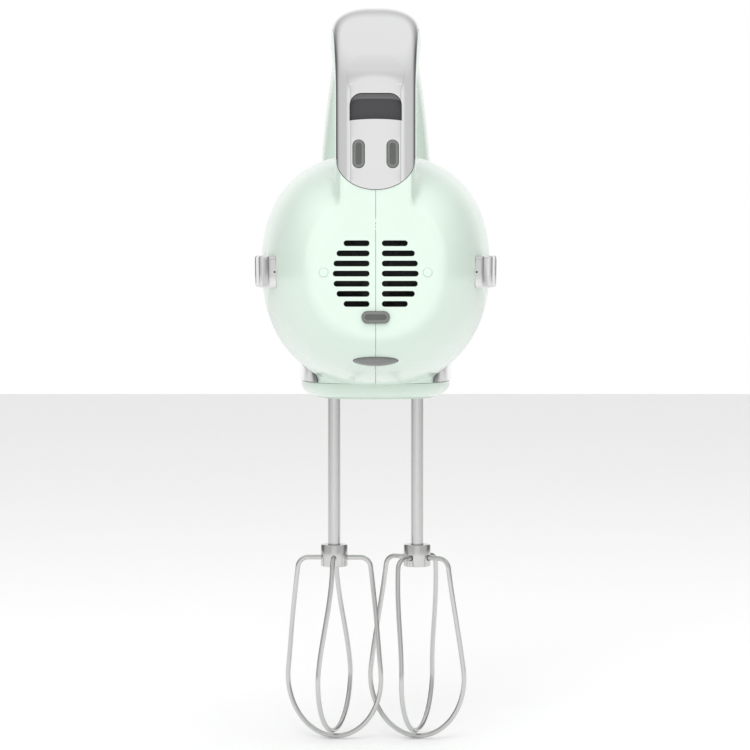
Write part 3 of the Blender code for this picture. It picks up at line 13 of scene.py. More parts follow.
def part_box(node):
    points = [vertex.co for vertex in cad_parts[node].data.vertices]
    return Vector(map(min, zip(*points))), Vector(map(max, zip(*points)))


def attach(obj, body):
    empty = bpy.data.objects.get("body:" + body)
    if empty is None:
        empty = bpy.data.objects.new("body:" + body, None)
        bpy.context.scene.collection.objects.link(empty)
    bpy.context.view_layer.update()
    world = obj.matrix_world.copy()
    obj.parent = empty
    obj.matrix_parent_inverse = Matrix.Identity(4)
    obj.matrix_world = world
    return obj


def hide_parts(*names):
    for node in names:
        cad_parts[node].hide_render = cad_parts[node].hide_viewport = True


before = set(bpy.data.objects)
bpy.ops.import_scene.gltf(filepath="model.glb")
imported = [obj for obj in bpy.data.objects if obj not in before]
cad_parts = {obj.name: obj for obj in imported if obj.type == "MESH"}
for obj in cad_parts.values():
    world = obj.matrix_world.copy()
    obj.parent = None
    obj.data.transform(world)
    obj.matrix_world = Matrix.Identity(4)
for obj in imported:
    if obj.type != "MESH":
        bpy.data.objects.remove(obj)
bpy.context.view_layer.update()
MM = 0.001

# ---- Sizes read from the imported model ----
SHELL_LOW, SHELL_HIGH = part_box("housing_right")
REAR_Y = SHELL_LOW[1]
NOSE_Y = SHELL_HIGH[1]
BASE_SEAM_Z = SHELL_LOW[2]
TRIM_LOW, TRIM_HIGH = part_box("handle_trim")
SHAFT_LOW, SHAFT_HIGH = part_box("beater_right_shaft")
BEATER_X = (SHAFT_LOW[0] + SHAFT_HIGH[0]) / 2
BEATER_Y = (SHAFT_LOW[1] + SHAFT_HIGH[1]) / 2
COLLAR_LOW, COLLAR_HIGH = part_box("beater_right_collar")
PLUG_LOW, PLUG_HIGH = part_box("screw_plug_right")
PLUG_Z = (PLUG_LOW[2] + PLUG_HIGH[2]) / 2
PLUG_X = (PLUG_LOW[0] + PLUG_HIGH[0]) / 2
PLUG_RADIUS = (PLUG_HIGH[0] - PLUG_LOW[0]) / 2 - 0.2 * MM

# ---- The body: superellipse sections of an egg, flat at the rear ----
BODY_Z = PLUG_Z + 1 * MM
BODY_HALF_WIDTH = 45 * MM
BODY_TOP = 45.5 * MM
BODY_BOTTOM = 47 * MM
TOP_POWER = 2.4
BOTTOM_POWER = 2.2
LENGTH_POWER = 2.3
WIDEST_Y = -20 * MM
DISC_SHARE = 0.55
WALL = 2.6 * MM
SEAM_GAP = 0.14 * MM
GAP = 0.2 * MM

# ---- The pedestal and its cover ----
PEDESTAL_HALF_WIDTH = 30 * MM
PEDESTAL_HALF_LENGTH = 62 * MM
PEDESTAL_Y = 16 * MM
PEDESTAL_POWER = 3.6
PEDESTAL_WALL = 2.4 * MM
COVER_ROUND = 4.6 * MM
BAND_TOP_Z = BODY_Z - 34 * MM
BAND_STANDOUT = 0.7 * MM
BAND_DEPTH = 0.7 * MM
BAND_REAR_HALF_GAP = 22.7 * MM
BAND_END_X = 29.6 * MM
BAND_END_Y = -8 * MM
BAND_END_HEIGHT = 7.9 * MM
BAND_END_POWER = 1.6

# ---- The rear face: a flat disc with a neck up to the handle, a little proud of the egg ----
FACE_STEP = 0.9 * MM
FACE_RADIUS = 24 * MM
NECK_HALF_WIDTH = 13.6 * MM
NECK_FILLET = 16 * MM

# ---- The handle ----
TRIM_STANDOUT = 0.4 * MM
TRIM_DEPTH = 2.0 * MM
TRIM_EDGE = 0.7 * MM
TRIM_MAX_HALF_WIDTH = 16.2 * MM
HANDLE_TOP_Z = TRIM_HIGH[2] - TRIM_STANDOUT
LEG_Y = REAR_Y + 0.5 * MM
LEG_BOTTOM_Z = BODY_Z - 8 * MM
REAR_CORNER = 34 * MM
FRONT_ARC_Y = 20 * MM
FRONT_ARC_LENGTH = 76 * MM
FRONT_ARC_HEIGHT = 88 * MM
LEG_HALF_WIDTH = 15.2 * MM
GRIP_HALF_WIDTH = 17.2 * MM
PILLAR_HALF_WIDTH = 23.5 * MM
LEG_DEPTH = 24 * MM
GRIP_DEPTH = 26 * MM
PILLAR_DEPTH = 62 * MM
LEG_POWER = 4.8
GRIP_POWER = 2.6
PILLAR_POWER = 3.0
HANDLE_WALL = 2.2 * MM
HANDLE_SIDE_WALL = 3.0 * MM
REAR_TONGUE_Z = BODY_Z + 41 * MM
REAR_TONGUE_DEPTH = 11.2 * MM
FRONT_TONGUE_Z = BODY_Z + 36 * MM
FRONT_TONGUE_DEPTH = 12 * MM

# ---- Rear details ----
WINDOW_LOW, WINDOW_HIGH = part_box("cord_inlet")
HEEL_PAD_HALF_WIDTH = 9.4 * MM
HEEL_PAD_FACE_Y = TRIM_LOW[1]
HOOD_STANDOUT = LEG_Y - TRIM_STANDOUT - HEEL_PAD_FACE_Y
HOOD_HALF_WIDTH = 10.8 * MM
HOOD_WIDE_Z = BODY_Z + 72.3 * MM
HOOD_TOP_Z = BODY_Z + 79.6 * MM
HOOD_ROOT = 2.6 * MM
WINDOW_DEPTH = 6 * MM
TRIM_GAP = 0.22 * MM
# Width and sink of a black liner in the gap round the chrome strip: painted shadow for that gap.
GAP_LINER_WIDTH = 0.15 * MM
GAP_LINER_SINK = 0.45 * MM
VENT_Z = BODY_Z - 1.4 * MM
VENT_PITCH = 3.75 * MM
VENT_HEIGHT = 2.15 * MM
VENT_INNER = 2.3 * MM
VENT_OUTER = (11.9 * MM, 14.5 * MM, 15.6 * MM, 15.9 * MM)
BADGE_BARS = 4
BADGE_PITCH = 16.5 * MM
BADGE_BAR_LENGTH = 12 * MM
BADGE_THICKNESS = 2.8 * MM

# ---- Beater wires ----
WIRE_RADIUS = 1.0 * MM
COLLAR_RADIUS = (COLLAR_HIGH[0] - COLLAR_LOW[0]) / 2
WIRE_EXIT_Z = COLLAR_HIGH[2] - 5.5 * MM
KNEE_RADIUS = 4.4 * MM
KNEE_TURN = 82.8
CAGE_TOP_RADIUS = 15.2 * MM
CAGE_RADIUS = 20.6 * MM
CAGE_WIDEST_Z = 25.8 * MM
CAGE_TANGENT = 9.3
LOOP_RISE = 2.4 * MM
PHASES = {"left": (-2, -18.5), "right": (-32, -19)}

# ---- Camera ----
CAMERA_PLACE = Vector((0, -1.2163, 0.2054))
CAMERA_PITCH = math.radians(2.43)
CAMERA_LENS = 144.6
CAMERA_SHIFT_X = -0.0009

# ---- The room: its grey as soft light, and (place, grey) as mirrored, from heel side to nose side ----
ROOM_SHADE = 0.86
ROOM_STOPS = (
    (0.0, 0.92), (0.03, 0.9), (0.06, 0.68), (0.3, 0.66), (0.45, 0.6),
    (0.6, 0.25), (0.74, 0.1), (0.88, 0.3), (0.97, 1.0),
)


# ================= Materials =================

def material_base(name, colour, roughness, metallic=0.0, coat=0.0):
    material = bpy.data.materials.new(name)
    material.use_nodes = True
    shader = material.node_tree.nodes["Principled BSDF"]
    shader.inputs["Metallic"].default_value = metallic
    shader.inputs["Coat Weight"].default_value = coat
    shader.inputs["Coat Roughness"].default_value = 0.06
    shader.inputs["Base Color"].default_value = (*colour, 1)
    shader.inputs["Roughness"].default_value = roughness
    return material, shader


def noise(tree, scale, detail=3.0, stretch=(1, 1, 1)):
    """A noise texture in the object's own metres, stretched along an axis where asked."""
    coordinates = tree.nodes.new("ShaderNodeTexCoord")
    mapping = tree.nodes.new("ShaderNodeMapping")
    mapping.inputs["Scale"].default_value = stretch
    texture = tree.nodes.new("ShaderNodeTexNoise")
    texture.inputs["Scale"].default_value = scale
    texture.inputs["Detail"].default_value = detail
    tree.links.new(coordinates.outputs["Object"], mapping.inputs["Vector"])
    tree.links.new(mapping.outputs["Vector"], texture.inputs["Vector"])
    return texture.outputs["Fac"]


def vary(tree, fac, low, high, socket):
    spread = tree.nodes.new("ShaderNodeMapRange")
    spread.inputs["From Min"].default_value = 0.3
    spread.inputs["From Max"].default_value = 0.7
    spread.inputs["To Min"].default_value = low
    spread.inputs["To Max"].default_value = high
    tree.links.new(fac, spread.inputs["Value"])
    tree.links.new(spread.outputs["Result"], socket)


def tint(tree, fac, colour, other, socket):
    ramp = tree.nodes.new("ShaderNodeValToRGB")
    ramp.color_ramp.elements[0].position = 0.35
    ramp.color_ramp.elements[1].position = 0.65
    ramp.color_ramp.elements[0].color = (*colour, 1)
    ramp.color_ramp.elements[1].color = (*other, 1)
    tree.links.new(fac, ramp.inputs["Fac"])
    tree.links.new(ramp.outputs["Color"], socket)


def bump(tree, fac, depth, socket):
    node = tree.nodes.new("ShaderNodeBump")
    node.inputs["Strength"].default_value = 1.0
    node.inputs["Distance"].default_value = depth
    tree.links.new(fac, node.inputs["Height"])
    tree.links.new(node.outputs["Normal"], socket)


def surface(
    name, colour, roughness, metallic=0.0, coat=0.0, grain=900, depth=0.00001, shade=0.97, stretch=(1, 1, 1)
):
    """A procedural finish: broad colour drift, uneven roughness and a fine grain."""
    material, shader = material_base(name, colour, roughness, metallic, coat)
    tree = material.node_tree
    broad = noise(tree, 14, 2)
    fine = noise(tree, grain, 4, stretch)
    darker = tuple(part * shade for part in colour)
    tint(tree, broad, colour, darker, shader.inputs["Base Color"])
    vary(tree, fine, roughness * 0.85, min(1, roughness * 1.2), shader.inputs["Roughness"])
    bump(tree, fine, depth, shader.inputs["Normal"])
    return material


FINISHES = {
    "enamel": {"colour": (0.625, 0.735, 0.652), "roughness": 0.2,
              "coat": 0.4, "grain": 260, "depth": 0.000004, "shade": 0.985},
    "chrome": {"colour": (0.86, 0.86, 0.87), "roughness": 0.06,
              "metallic": 1, "grain": 120, "depth": 0.000001, "shade": 0.99},
    # The hood's chrome is a touch darker than the strip's: painted shade for the dim scoop under the boss's
    # arch. Its higher roughness is its own finish.
    "hood": {"colour": (0.85, 0.85, 0.855), "roughness": 0.11,
              "metallic": 1, "grain": 400, "depth": 0.000002, "shade": 0.985},
    "steel": {"colour": (0.60, 0.60, 0.595), "roughness": 0.2,
              "metallic": 1, "grain": 500, "depth": 0.000006, "stretch": (6, 6, 0.5)},
    "badge": {"colour": (0.68, 0.68, 0.685), "roughness": 0.12,
              "metallic": 1, "grain": 300, "depth": 0.000002, "shade": 0.97},
    "recess": {"colour": (0.15, 0.15, 0.152), "roughness": 0.5,
              "grain": 1200, "depth": 0.00001, "shade": 0.92},
    "rubber": {"colour": (0.095, 0.1, 0.096), "roughness": 0.5,
              "grain": 1800, "depth": 0.00003, "shade": 0.88},
    # A lighter rubber for the feet's rounded rim and dish: a painted highlight where light catches the rim.
    "rubber_rim_highlight": {"colour": (0.17, 0.175, 0.17), "roughness": 0.42,
              "grain": 1800, "depth": 0.00002, "shade": 0.9},
    "pad_rubber": {"colour": (0.20, 0.205, 0.20), "roughness": 0.34,
              "grain": 1500, "depth": 0.00002, "shade": 0.92},
    "gloss": {"colour": (0.18, 0.18, 0.182), "roughness": 0.25,
              "coat": 0.6, "grain": 300, "depth": 0.000003, "shade": 0.9},
    "satin": {"colour": (0.05, 0.05, 0.054), "roughness": 0.42,
              "grain": 1400, "depth": 0.00002, "shade": 0.85},
    "nylon": {"colour": (0.68, 0.66, 0.60), "roughness": 0.45, "grain": 700, "depth": 0.00001},
    "copper": {"colour": (0.72, 0.36, 0.2), "roughness": 0.3,
              "metallic": 1, "grain": 1200, "depth": 0.00004, "stretch": (1, 6, 1)},
    "bronze": {"colour": (0.62, 0.45, 0.22), "roughness": 0.34,
              "metallic": 1, "grain": 900, "depth": 0.00001},
    "carbon": {"colour": (0.03, 0.03, 0.032), "roughness": 0.6,
              "grain": 1500, "depth": 0.00003, "shade": 0.8},
    "board": {"colour": (0.03, 0.16, 0.08), "roughness": 0.4,
              "coat": 0.3, "grain": 600, "depth": 0.00001, "shade": 0.85},
    "mark": {"colour": (0.62, 0.64, 0.63), "roughness": 0.35, "grain": 900, "depth": 0.00001},
    "floor": {"colour": (0.93, 0.93, 0.93), "roughness": 0.7,
              "grain": 60, "depth": 0.000005, "shade": 0.998},
}


def make_materials():
    return {name: surface(name, **finish) for name, finish in FINISHES.items()}


CARRIED = {
    "steel": ("motor_can", "motor_shaft", "armature_core", "spindle_left", "spindle_right", "eject_pin_left",
              "eject_pin_right", "eject_spring", "rear_screw_left", "rear_screw_right"),
    "nylon": ("gearbox_frame", "worm_wheel_left", "worm_wheel_right", "eject_fork"),
    "carbon": ("magnet_lower", "magnet_upper", "brush_left", "brush_right"),
    "copper": ("winding_rear", "winding_front", "commutator"),
    "bronze": ("motor_bearing_rear", "motor_bearing_front"),
    "satin": ("cooling_fan", "cord_gland"),
    "board": ("control_board",),
}


def dress_carried_nodes(materials):
    """Finishes for the inner pieces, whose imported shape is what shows."""
    for key, names in CARRIED.items():
        for name in names:
            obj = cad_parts[name]
            obj.data.materials.clear()
            obj.data.materials.append(materials[key])


# ================= Mesh helpers =================

def add_object(name, bm, material):
    bmesh.ops.recalc_face_normals(bm, faces=bm.faces)
    mesh = bpy.data.meshes.new(name)
    bm.to_mesh(mesh)
    bm.free()
    if material is not None:
        mesh.materials.append(material)
    obj = bpy.data.objects.new(name, mesh)
    bpy.context.scene.collection.objects.link(obj)
    return obj


def loft(name, rings, material=None, closed=False):
    """Bridges rings of points with equal counts and caps the ends, unless the rings close on themselves."""
    bm = bmesh.new()
    loops = [[bm.verts.new(p) for p in ring] for ring in rings]
    pairs = list(zip(loops, loops[1:]))
    if closed:
        pairs.append((loops[-1], loops[0]))
    for lower, upper in pairs:
        for i, _ in enumerate(lower):
            j = (i + 1) % len(lower)
            bm.faces.new((lower[i], lower[j], upper[j], upper[i]))
    if not closed:
        bm.faces.new(loops[0])
        bm.faces.new(loops[-1])
    return add_object(name, bm, material)


def turned(name, profile, origin, axis, material=None, steps=64, hollow=False):
    """Turns (radius, height) points about an axis. A hollow profile is a closed loop clear of the axis."""
    spin = Vector((0, 0, 1)).rotation_difference(Vector(axis)).to_matrix()
    rings = []
    for radius, height in profile:
        angles = [2 * math.pi * i / steps for i in range(steps)]
        ring = [Vector((radius * math.cos(a), radius * math.sin(a), height)) for a in angles]
        rings.append([Vector(origin) + spin @ p for p in ring])
    return loft(name, rings, material, closed=hollow)


def cylinder(radius, low, high, origin, axis, steps=48):
    return turned("cutter", [(radius, low), (radius, high)], origin, axis, None, steps)


def block(low, high):
    (x0, y0, z0), (x1, y1, z1) = low, high
    return loft("cutter", [[(x0, y0, z), (x1, y0, z), (x1, y1, z), (x0, y1, z)] for z in (z0, z1)])


def prism(outline, low, high, place, name="cutter", material=None):
    return loft(name, [[place(u, v, w) for u, v in outline] for w in (low, high)], material)


def along_y(u, v, w):
    return Vector((u, w, v))


def along_z(u, v, w):
    return Vector((u, v, w))


def rounded_box(half_width, half_height, radius, centre=(0, 0), steps=8):
    points = []
    for corner in range(4):
        cx = (half_width - radius) * (1 if corner in (0, 3) else -1)
        cy = (half_height - radius) * (1 if corner < 2 else -1)
        for i in range(steps + 1):
            angle = math.pi / 2 * (corner + i / steps)
            x, y = centre[0] + cx, centre[1] + cy
            points.append((x + radius * math.cos(angle), y + radius * math.sin(angle)))
    return points


def pillow(name, outline, low, high, edge, place, material, steps=5, dish=0.0):
    """A raised piece with a rounded rim: outline(inset) gives its outline moved in by inset."""
    rings = [(0, low), (0, high - edge)]
    for i in range(1, steps + 1):
        angle = math.pi / 2 * i / steps
        rings.append((edge * (1 - math.cos(angle)), high - edge * (1 - math.sin(angle))))
    if dish:
        rings += [(edge + dish, high), (edge + 1.6 * dish, high - dish * 0.5)]
    loops = [[place(u, v, w) for u, v in outline(inset)] for inset, w in rings]
    return smooth(loft(name, loops, material), 40)


def apply_boolean(target, other, operation):
    modifier = target.modifiers.new(operation.lower(), "BOOLEAN")
    modifier.operation = operation
    modifier.solver = "MANIFOLD"
    modifier.object = other
    bake(target)
    bpy.data.objects.remove(other)
    return target


def bake(obj):
    graph = bpy.context.evaluated_depsgraph_get()
    mesh = bpy.data.meshes.new_from_object(obj.evaluated_get(graph))
    obj.modifiers.clear()
    obj.data = mesh


def cut(target, other):
    return apply_boolean(target, other, "DIFFERENCE")


def join(target, other):
    return apply_boolean(target, other, "UNION")


def keep_inside(target, other):
    return apply_boolean(target, other, "INTERSECT")


def smooth(obj, angle=30):
    obj.data.shade_smooth()
    obj.data.set_sharp_from_angle(angle=math.radians(angle))
    return obj


def settle(obj, voxel, rounds):
    """Remeshes a solid evenly and relaxes it, which rounds the lines where its shapes meet."""
    remesh = obj.modifiers.new("remesh", "REMESH")
    remesh.mode = "VOXEL"
    remesh.voxel_size = voxel
    relax = obj.modifiers.new("relax", "SMOOTH")
    relax.factor = 0.5
    relax.iterations = rounds
    bake(obj)
    return obj


def place_piece(obj, body, slot, *nodes):
    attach(obj, body)
    if nodes:
        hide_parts(*nodes)
    return obj


# ================= Shape of the body and handle =================

def tail_reach():
    return (WIDEST_Y - REAR_Y) / (1 - DISC_SHARE**LENGTH_POWER) ** (1 / LENGTH_POWER)


def length_share(y):
    reach = NOSE_Y - WIDEST_Y if y > WIDEST_Y else tail_reach()
    t = min(1.0, abs(y - WIDEST_Y) / reach)
    return (1 - t**LENGTH_POWER) ** (1 / LENGTH_POWER)


def body_section(y, inset, count):
    share = length_share(y)
    width = share * BODY_HALF_WIDTH - inset
    points = []
    for i in range(count):
        angle = 2 * math.pi * (i + 0.5) / count
        up = math.sin(angle) > 0
        power = TOP_POWER if up else BOTTOM_POWER
        height = share * (BODY_TOP if up else BODY_BOTTOM) - inset
        x = width * math.copysign(abs(math.cos(angle)) ** (2 / power), math.cos(angle))
        z = height * math.copysign(abs(math.sin(angle)) ** (2 / power), math.sin(angle))
        points.append(Vector((x, y, BODY_Z + z)))
    return points


def body_side_x(y, z):
    share = length_share(y)
    up = z > BODY_Z
    power = TOP_POWER if up else BOTTOM_POWER
    height = share * (BODY_TOP if up else BODY_BOTTOM)
    return share * BODY_HALF_WIDTH * (1 - min(1, abs(z - BODY_Z) / height) ** power) ** (1 / power)


def body_solid(inset, stations, count):
    tip = NOSE_Y - inset
    rear = REAR_Y + inset
    rings = []
    for i in range(stations + 1):
        y = (tip + rear) / 2 - (tip - rear) / 2 * math.cos(math.pi * i / stations)
        if i == stations:
            y = tip - 0.02 * MM
        rings.append(body_section(y, min(inset, 0.9 * length_share(y) * BODY_TOP), count))
    return loft("body", rings)


def handle_stations(leg, corner, grip, front):
    """(y, z, outward normal, share of the way) down the outside of the handle, from heel to nose."""
    found = []
    corner_z = HANDLE_TOP_Z - REAR_CORNER
    for i in range(leg):
        found.append((LEG_Y, LEG_BOTTOM_Z + (corner_z - LEG_BOTTOM_Z) * i / leg, Vector((0, -1, 0)), 0.0))
    for i in range(corner):
        angle = math.pi / 2 * i / corner
        normal = Vector((0, -math.cos(angle), math.sin(angle)))
        y = LEG_Y + REAR_CORNER * (1 - math.cos(angle))
        found.append((y, corner_z + REAR_CORNER * math.sin(angle), normal, i / corner))
    grip_start = LEG_Y + REAR_CORNER
    for i in range(grip):
        y = grip_start + (FRONT_ARC_Y - grip_start) * i / grip
        found.append((y, HANDLE_TOP_Z, Vector((0, 0, 1)), 1.0))
    for i in range(front + 1):
        angle = math.pi / 2 * i / front
        y = FRONT_ARC_Y + FRONT_ARC_LENGTH * math.sin(angle)
        z = HANDLE_TOP_Z - FRONT_ARC_HEIGHT * (1 - math.cos(angle))
        normal = Vector((0, math.sin(angle) / FRONT_ARC_LENGTH, math.cos(angle) / FRONT_ARC_HEIGHT))
        found.append((y, z, normal.normalized(), 1.0 + i / front))
    return found


def ease(t):
    t = max(0.0, min(1.0, t))
    return t * t * (3 - 2 * t)


def handle_half_width(way):
    if way <= 1:
        return LEG_HALF_WIDTH + (GRIP_HALF_WIDTH - LEG_HALF_WIDTH) * ease(way)
    return GRIP_HALF_WIDTH + (PILLAR_HALF_WIDTH - GRIP_HALF_WIDTH) * ease((way - 1) * 1.25)


def handle_depth(way):
    if way <= 1:
        return LEG_DEPTH + (GRIP_DEPTH - LEG_DEPTH) * ease(way)
    return GRIP_DEPTH + (PILLAR_DEPTH - GRIP_DEPTH) * ease((way - 1) * 1.1)


def handle_power(way):
    """How square the handle's section is: a flat-faced heel, a round grip, a fuller pillar."""
    if way <= 1:
        return LEG_POWER + (GRIP_POWER - LEG_POWER) * ease((way - 0.35) / 0.65)
    return GRIP_POWER + (PILLAR_POWER - GRIP_POWER) * ease(way - 1)


def handle_solid(side, outside, inside, counts, points):
    rings = []
    for y, z, normal, way in handle_stations(*counts):
        power = handle_power(way)
        half_width = handle_half_width(way) - side
        half_depth = (handle_depth(way) - outside - inside) / 2
        centre = Vector((0, y, z)) - normal * (outside + half_depth)
        ring = []
        for i in range(points):
            angle = 2 * math.pi * (i + 0.5) / points
            c, s = math.cos(angle), math.sin(angle)
            x = half_width * math.copysign(abs(c) ** (2 / power), c)
            n = half_depth * math.copysign(abs(s) ** (2 / power), s)
            ring.append(centre + Vector((x, 0, 0)) + normal * n)
        rings.append(ring)
    return loft("handle", rings)


def handle_top_z(y):
    t = max(0.0, (y - FRONT_ARC_Y) / FRONT_ARC_LENGTH)
    return HANDLE_TOP_Z - FRONT_ARC_HEIGHT * (1 - math.sqrt(1 - t * t))


def trim_section(station, grow, top, spread):
    """One section of the strip wrapped over the handle, with its two long edges rounded off."""
    y, z, normal, way = station
    half_width = handle_half_width(way)
    half_depth = handle_depth(way) / 2
    centre = Vector((0, y, z)) - normal * half_depth
    limit = min(half_width - TRIM_EDGE, TRIM_MAX_HALF_WIDTH) + grow
    power = handle_power(way)
    edge = math.asin((limit / half_width) ** (power / 2))

    def point(angle, out):
        s = math.copysign(abs(math.sin(angle)) ** (2 / power), angle)
        c = math.cos(angle) ** (2 / power)
        return centre + Vector(((half_width + out) * s, 0, 0)) + normal * (half_depth + out) * c

    angles = [edge * (2 * i / spread - 1) for i in range(spread + 1)]
    roll = 0.35 * MM if top <= TRIM_STANDOUT else 0
    upper = [point(a, top) for a in angles]
    upper[0] = point(angles[0], top - roll)
    upper[-1] = point(angles[-1], top - roll)
    lower = [point(a, -TRIM_DEPTH - grow) for a in angles]
    return upper + lower[::-1]


def trim_solid(grow, top, counts, spread):
    return loft("trim", [trim_section(station, grow, top, spread) for station in handle_stations(*counts)])


def cut_tongues(strip, grow):
    """Rounds off the two ends of the strip, seen along Y."""
    far = 40 * MM
    heel_half_width = LEG_HALF_WIDTH - TRIM_EDGE + grow
    ends = (
        (REAR_TONGUE_Z, REAR_TONGUE_DEPTH + grow, heel_half_width, REAR_Y - 10 * MM, WIDEST_Y),
        (FRONT_TONGUE_Z, FRONT_TONGUE_DEPTH + grow, TRIM_MAX_HALF_WIDTH + grow, WIDEST_Y, NOSE_Y + 10 * MM),
    )
    for centre_z, depth, half_width, low_y, high_y in ends:
        steps = 40
        arc = []
        for i in range(steps + 1):
            angle = math.pi * i / steps
            arc.append((-half_width * math.cos(angle), centre_z - depth * math.sin(angle)))
        below = centre_z - 2 * far
        outline = [(-far, centre_z), *arc, (far, centre_z), (far, below), (-far, below)]
        cut(strip, prism(outline, low_y, high_y, along_y))
    return strip


def pedestal_outline(inset, count=160):
    points = []
    for i in range(count):
        angle = 2 * math.pi * (i + 0.5) / count
        c, s = math.cos(angle), math.sin(angle)
        x = (PEDESTAL_HALF_WIDTH - inset) * math.copysign(abs(c) ** (2 / PEDESTAL_POWER), c)
        y = (PEDESTAL_HALF_LENGTH - inset) * math.copysign(abs(s) ** (2 / PEDESTAL_POWER), s)
        points.append((x, PEDESTAL_Y + y))
    return points


def pedestal_solid(inset, low, high):
    return prism(pedestal_outline(inset), low, high, along_z)


# ================= Housing =================

def window_outline(grow):
    """The outlet's shape: a low arch over a sill that bows up a little."""
    half = (WINDOW_HIGH[0] - WINDOW_LOW[0]) / 2 + grow
    low, high = WINDOW_LOW[2] - grow, WINDOW_HIGH[2] + grow
    radius = 4.4 * MM + grow
    bow = 0.6 * MM
    steps = 12
    shares = [2 * i / steps - 1 for i in range(steps + 1)]
    points = [(half * share, low + bow * (1 - share**2)) for share in shares]
    for sign in (1, -1):
        for i in range(9):
            angle = math.pi / 2 * (i / 8 if sign > 0 else 1 - i / 8)
            x = sign * (half - radius + radius * math.cos(angle))
            points.append((x, high - radius + radius * math.sin(angle)))
    return points


def vent_cutters():
    middle = len(VENT_OUTER) - 1
    for row in range(2 * middle + 1):
        outer = VENT_OUTER[middle - abs(middle - row)]
        z = VENT_Z + (middle - row) * VENT_PITCH
        for side in (-1, 1):
            centre = (side * (VENT_INNER + outer) / 2, z)
            slot = rounded_box((outer - VENT_INNER) / 2, VENT_HEIGHT / 2, VENT_HEIGHT / 2 * 0.98, centre)
            yield prism(slot, REAR_Y - 4 * MM, REAR_Y + 8 * MM, along_y)


def foot_outline(node, inset=0.0):
    low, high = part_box(node)
    half = ((high[0] - low[0]) / 2 - inset, (high[2] - low[2]) / 2 - inset)
    centre = ((high[0] + low[0]) / 2, (high[2] + low[2]) / 2)
    return rounded_box(*half, min(half) * 0.98, centre, steps=14)


def button_outline(node, inset=0.0, radius=2 * MM, flange=0.0):
    low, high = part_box(node)
    half = ((high[0] - low[0]) / 2 - inset, (high[1] - low[1]) / 2 - flange - inset)
    centre = ((high[0] + low[0]) / 2, (high[1] + low[1]) / 2)
    return rounded_box(*half, max(0.3 * MM, radius - inset), centre)


FLANGE = 1.2 * MM
BUTTON_FLANGES = {"plus_button": FLANGE, "minus_button": FLANGE, "turbo_button": FLANGE, "eject_button": 0.0}


def top_cutters():
    """Holes for the buttons in the top of the handle."""
    for node, flange in BUTTON_FLANGES.items():
        radius = 3 * MM if node == "eject_button" else 2 * MM
        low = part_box(node)[0][2] - 2 * MM
        yield prism(button_outline(node, -GAP, radius + GAP, flange), low, HANDLE_TOP_Z + 12 * MM, along_z)


def bumper_solid(grow, name="cutter", material=None):
    low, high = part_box("tail_bumper")
    centre = (Vector(low) + Vector(high)) / 2
    half = (Vector(high) - Vector(low)) / 2 + Vector((grow, grow, grow))
    rings = []
    for j in range(1, 24):
        lift = math.pi * j / 24
        angles = [2 * math.pi * i / 64 for i in range(64)]
        across, deep, up = half.x * math.sin(lift), half.y * math.sin(lift), half.z * math.cos(lift)
        rings.append([centre + Vector((across * math.cos(a), deep * math.sin(a), up)) for a in angles])
    return loft(name, rings, material)


def trim_band(grow, name="cutter", material=None):
    low = BASE_SEAM_Z + 0.3 * MM - grow
    band = prism(pedestal_outline(-BAND_STANDOUT - grow), low, BAND_TOP_Z, along_z, name, material)
    cut(band, pedestal_solid(BAND_DEPTH + grow, low - 5 * MM, BAND_TOP_Z + 5 * MM))
    outline = band_end_outline(grow, low - 5 * MM, BAND_TOP_Z + 5 * MM)
    return cut(band, prism(outline, PEDESTAL_Y - PEDESTAL_HALF_LENGTH - 10 * MM, BAND_END_Y, along_y))


def band_end_outline(grow, low, high):
    """What is taken off the band at the rear, seen along Y: a gap whose sides slope up and outwards."""
    inner = BAND_REAR_HALF_GAP - grow
    steps = 24
    slope = []
    for i in range(steps + 1):
        t = 1 - i / steps
        rise = (1 - t**BAND_END_POWER) ** (1 / BAND_END_POWER)
        x = BAND_END_X - (BAND_END_X - inner) * t
        slope.append((x, BASE_SEAM_Z + 0.3 * MM + (BAND_END_HEIGHT + grow) * rise))
    right = [(inner, low), *slope, (BAND_END_X, high)]
    return right + [(-x, z) for x, z in reversed(right)]


def face_outline():
    """The flat rear face: a disc whose neck flares into it through a fillet."""
    reach = FACE_RADIUS + NECK_FILLET
    across = NECK_HALF_WIDTH + NECK_FILLET
    rise = math.sqrt(reach**2 - across**2)
    meet = math.atan2(rise, across)
    steps = 48
    right = []
    for i in range(steps + 1):
        angle = -math.pi / 2 + (meet + math.pi / 2) * i / steps
        right.append((FACE_RADIUS * math.cos(angle), VENT_Z + FACE_RADIUS * math.sin(angle)))
    for i in range(1, 17):
        angle = math.pi + meet - meet * i / 16
        right.append((across + NECK_FILLET * math.cos(angle), VENT_Z + rise + NECK_FILLET * math.sin(angle)))
    right.append((NECK_HALF_WIDTH, REAR_TONGUE_Z))
    return right + [(-x, z) for x, z in reversed(right[1:])]


def outer_solid():
    solid = body_solid(0, 90, 140)
    cut(solid, block((-0.1, REAR_Y - 5 * MM, BODY_Z - 0.1), (0.1, REAR_Y + FACE_STEP, BODY_Z + 0.1)))
    join(solid, prism(face_outline(), REAR_Y, REAR_Y + 6 * MM, along_y))
    join(solid, handle_solid(0, 0, 0, (20, 24, 12, 48), 96))
    join(solid, pedestal_solid(0, BASE_SEAM_Z - 3 * MM, BODY_Z - 12 * MM))
    return settle(solid, 1.1 * MM, 10)


def hollow_solid():
    hollow = body_solid(WALL + 0.3 * MM, 30, 48)
    roof = TRIM_DEPTH + GAP + HANDLE_WALL
    join(hollow, handle_solid(HANDLE_SIDE_WALL, roof, HANDLE_WALL, (6, 10, 4, 16), 32))
    return join(hollow, pedestal_solid(PEDESTAL_WALL, BASE_SEAM_Z - 5 * MM, BODY_Z - 16 * MM))


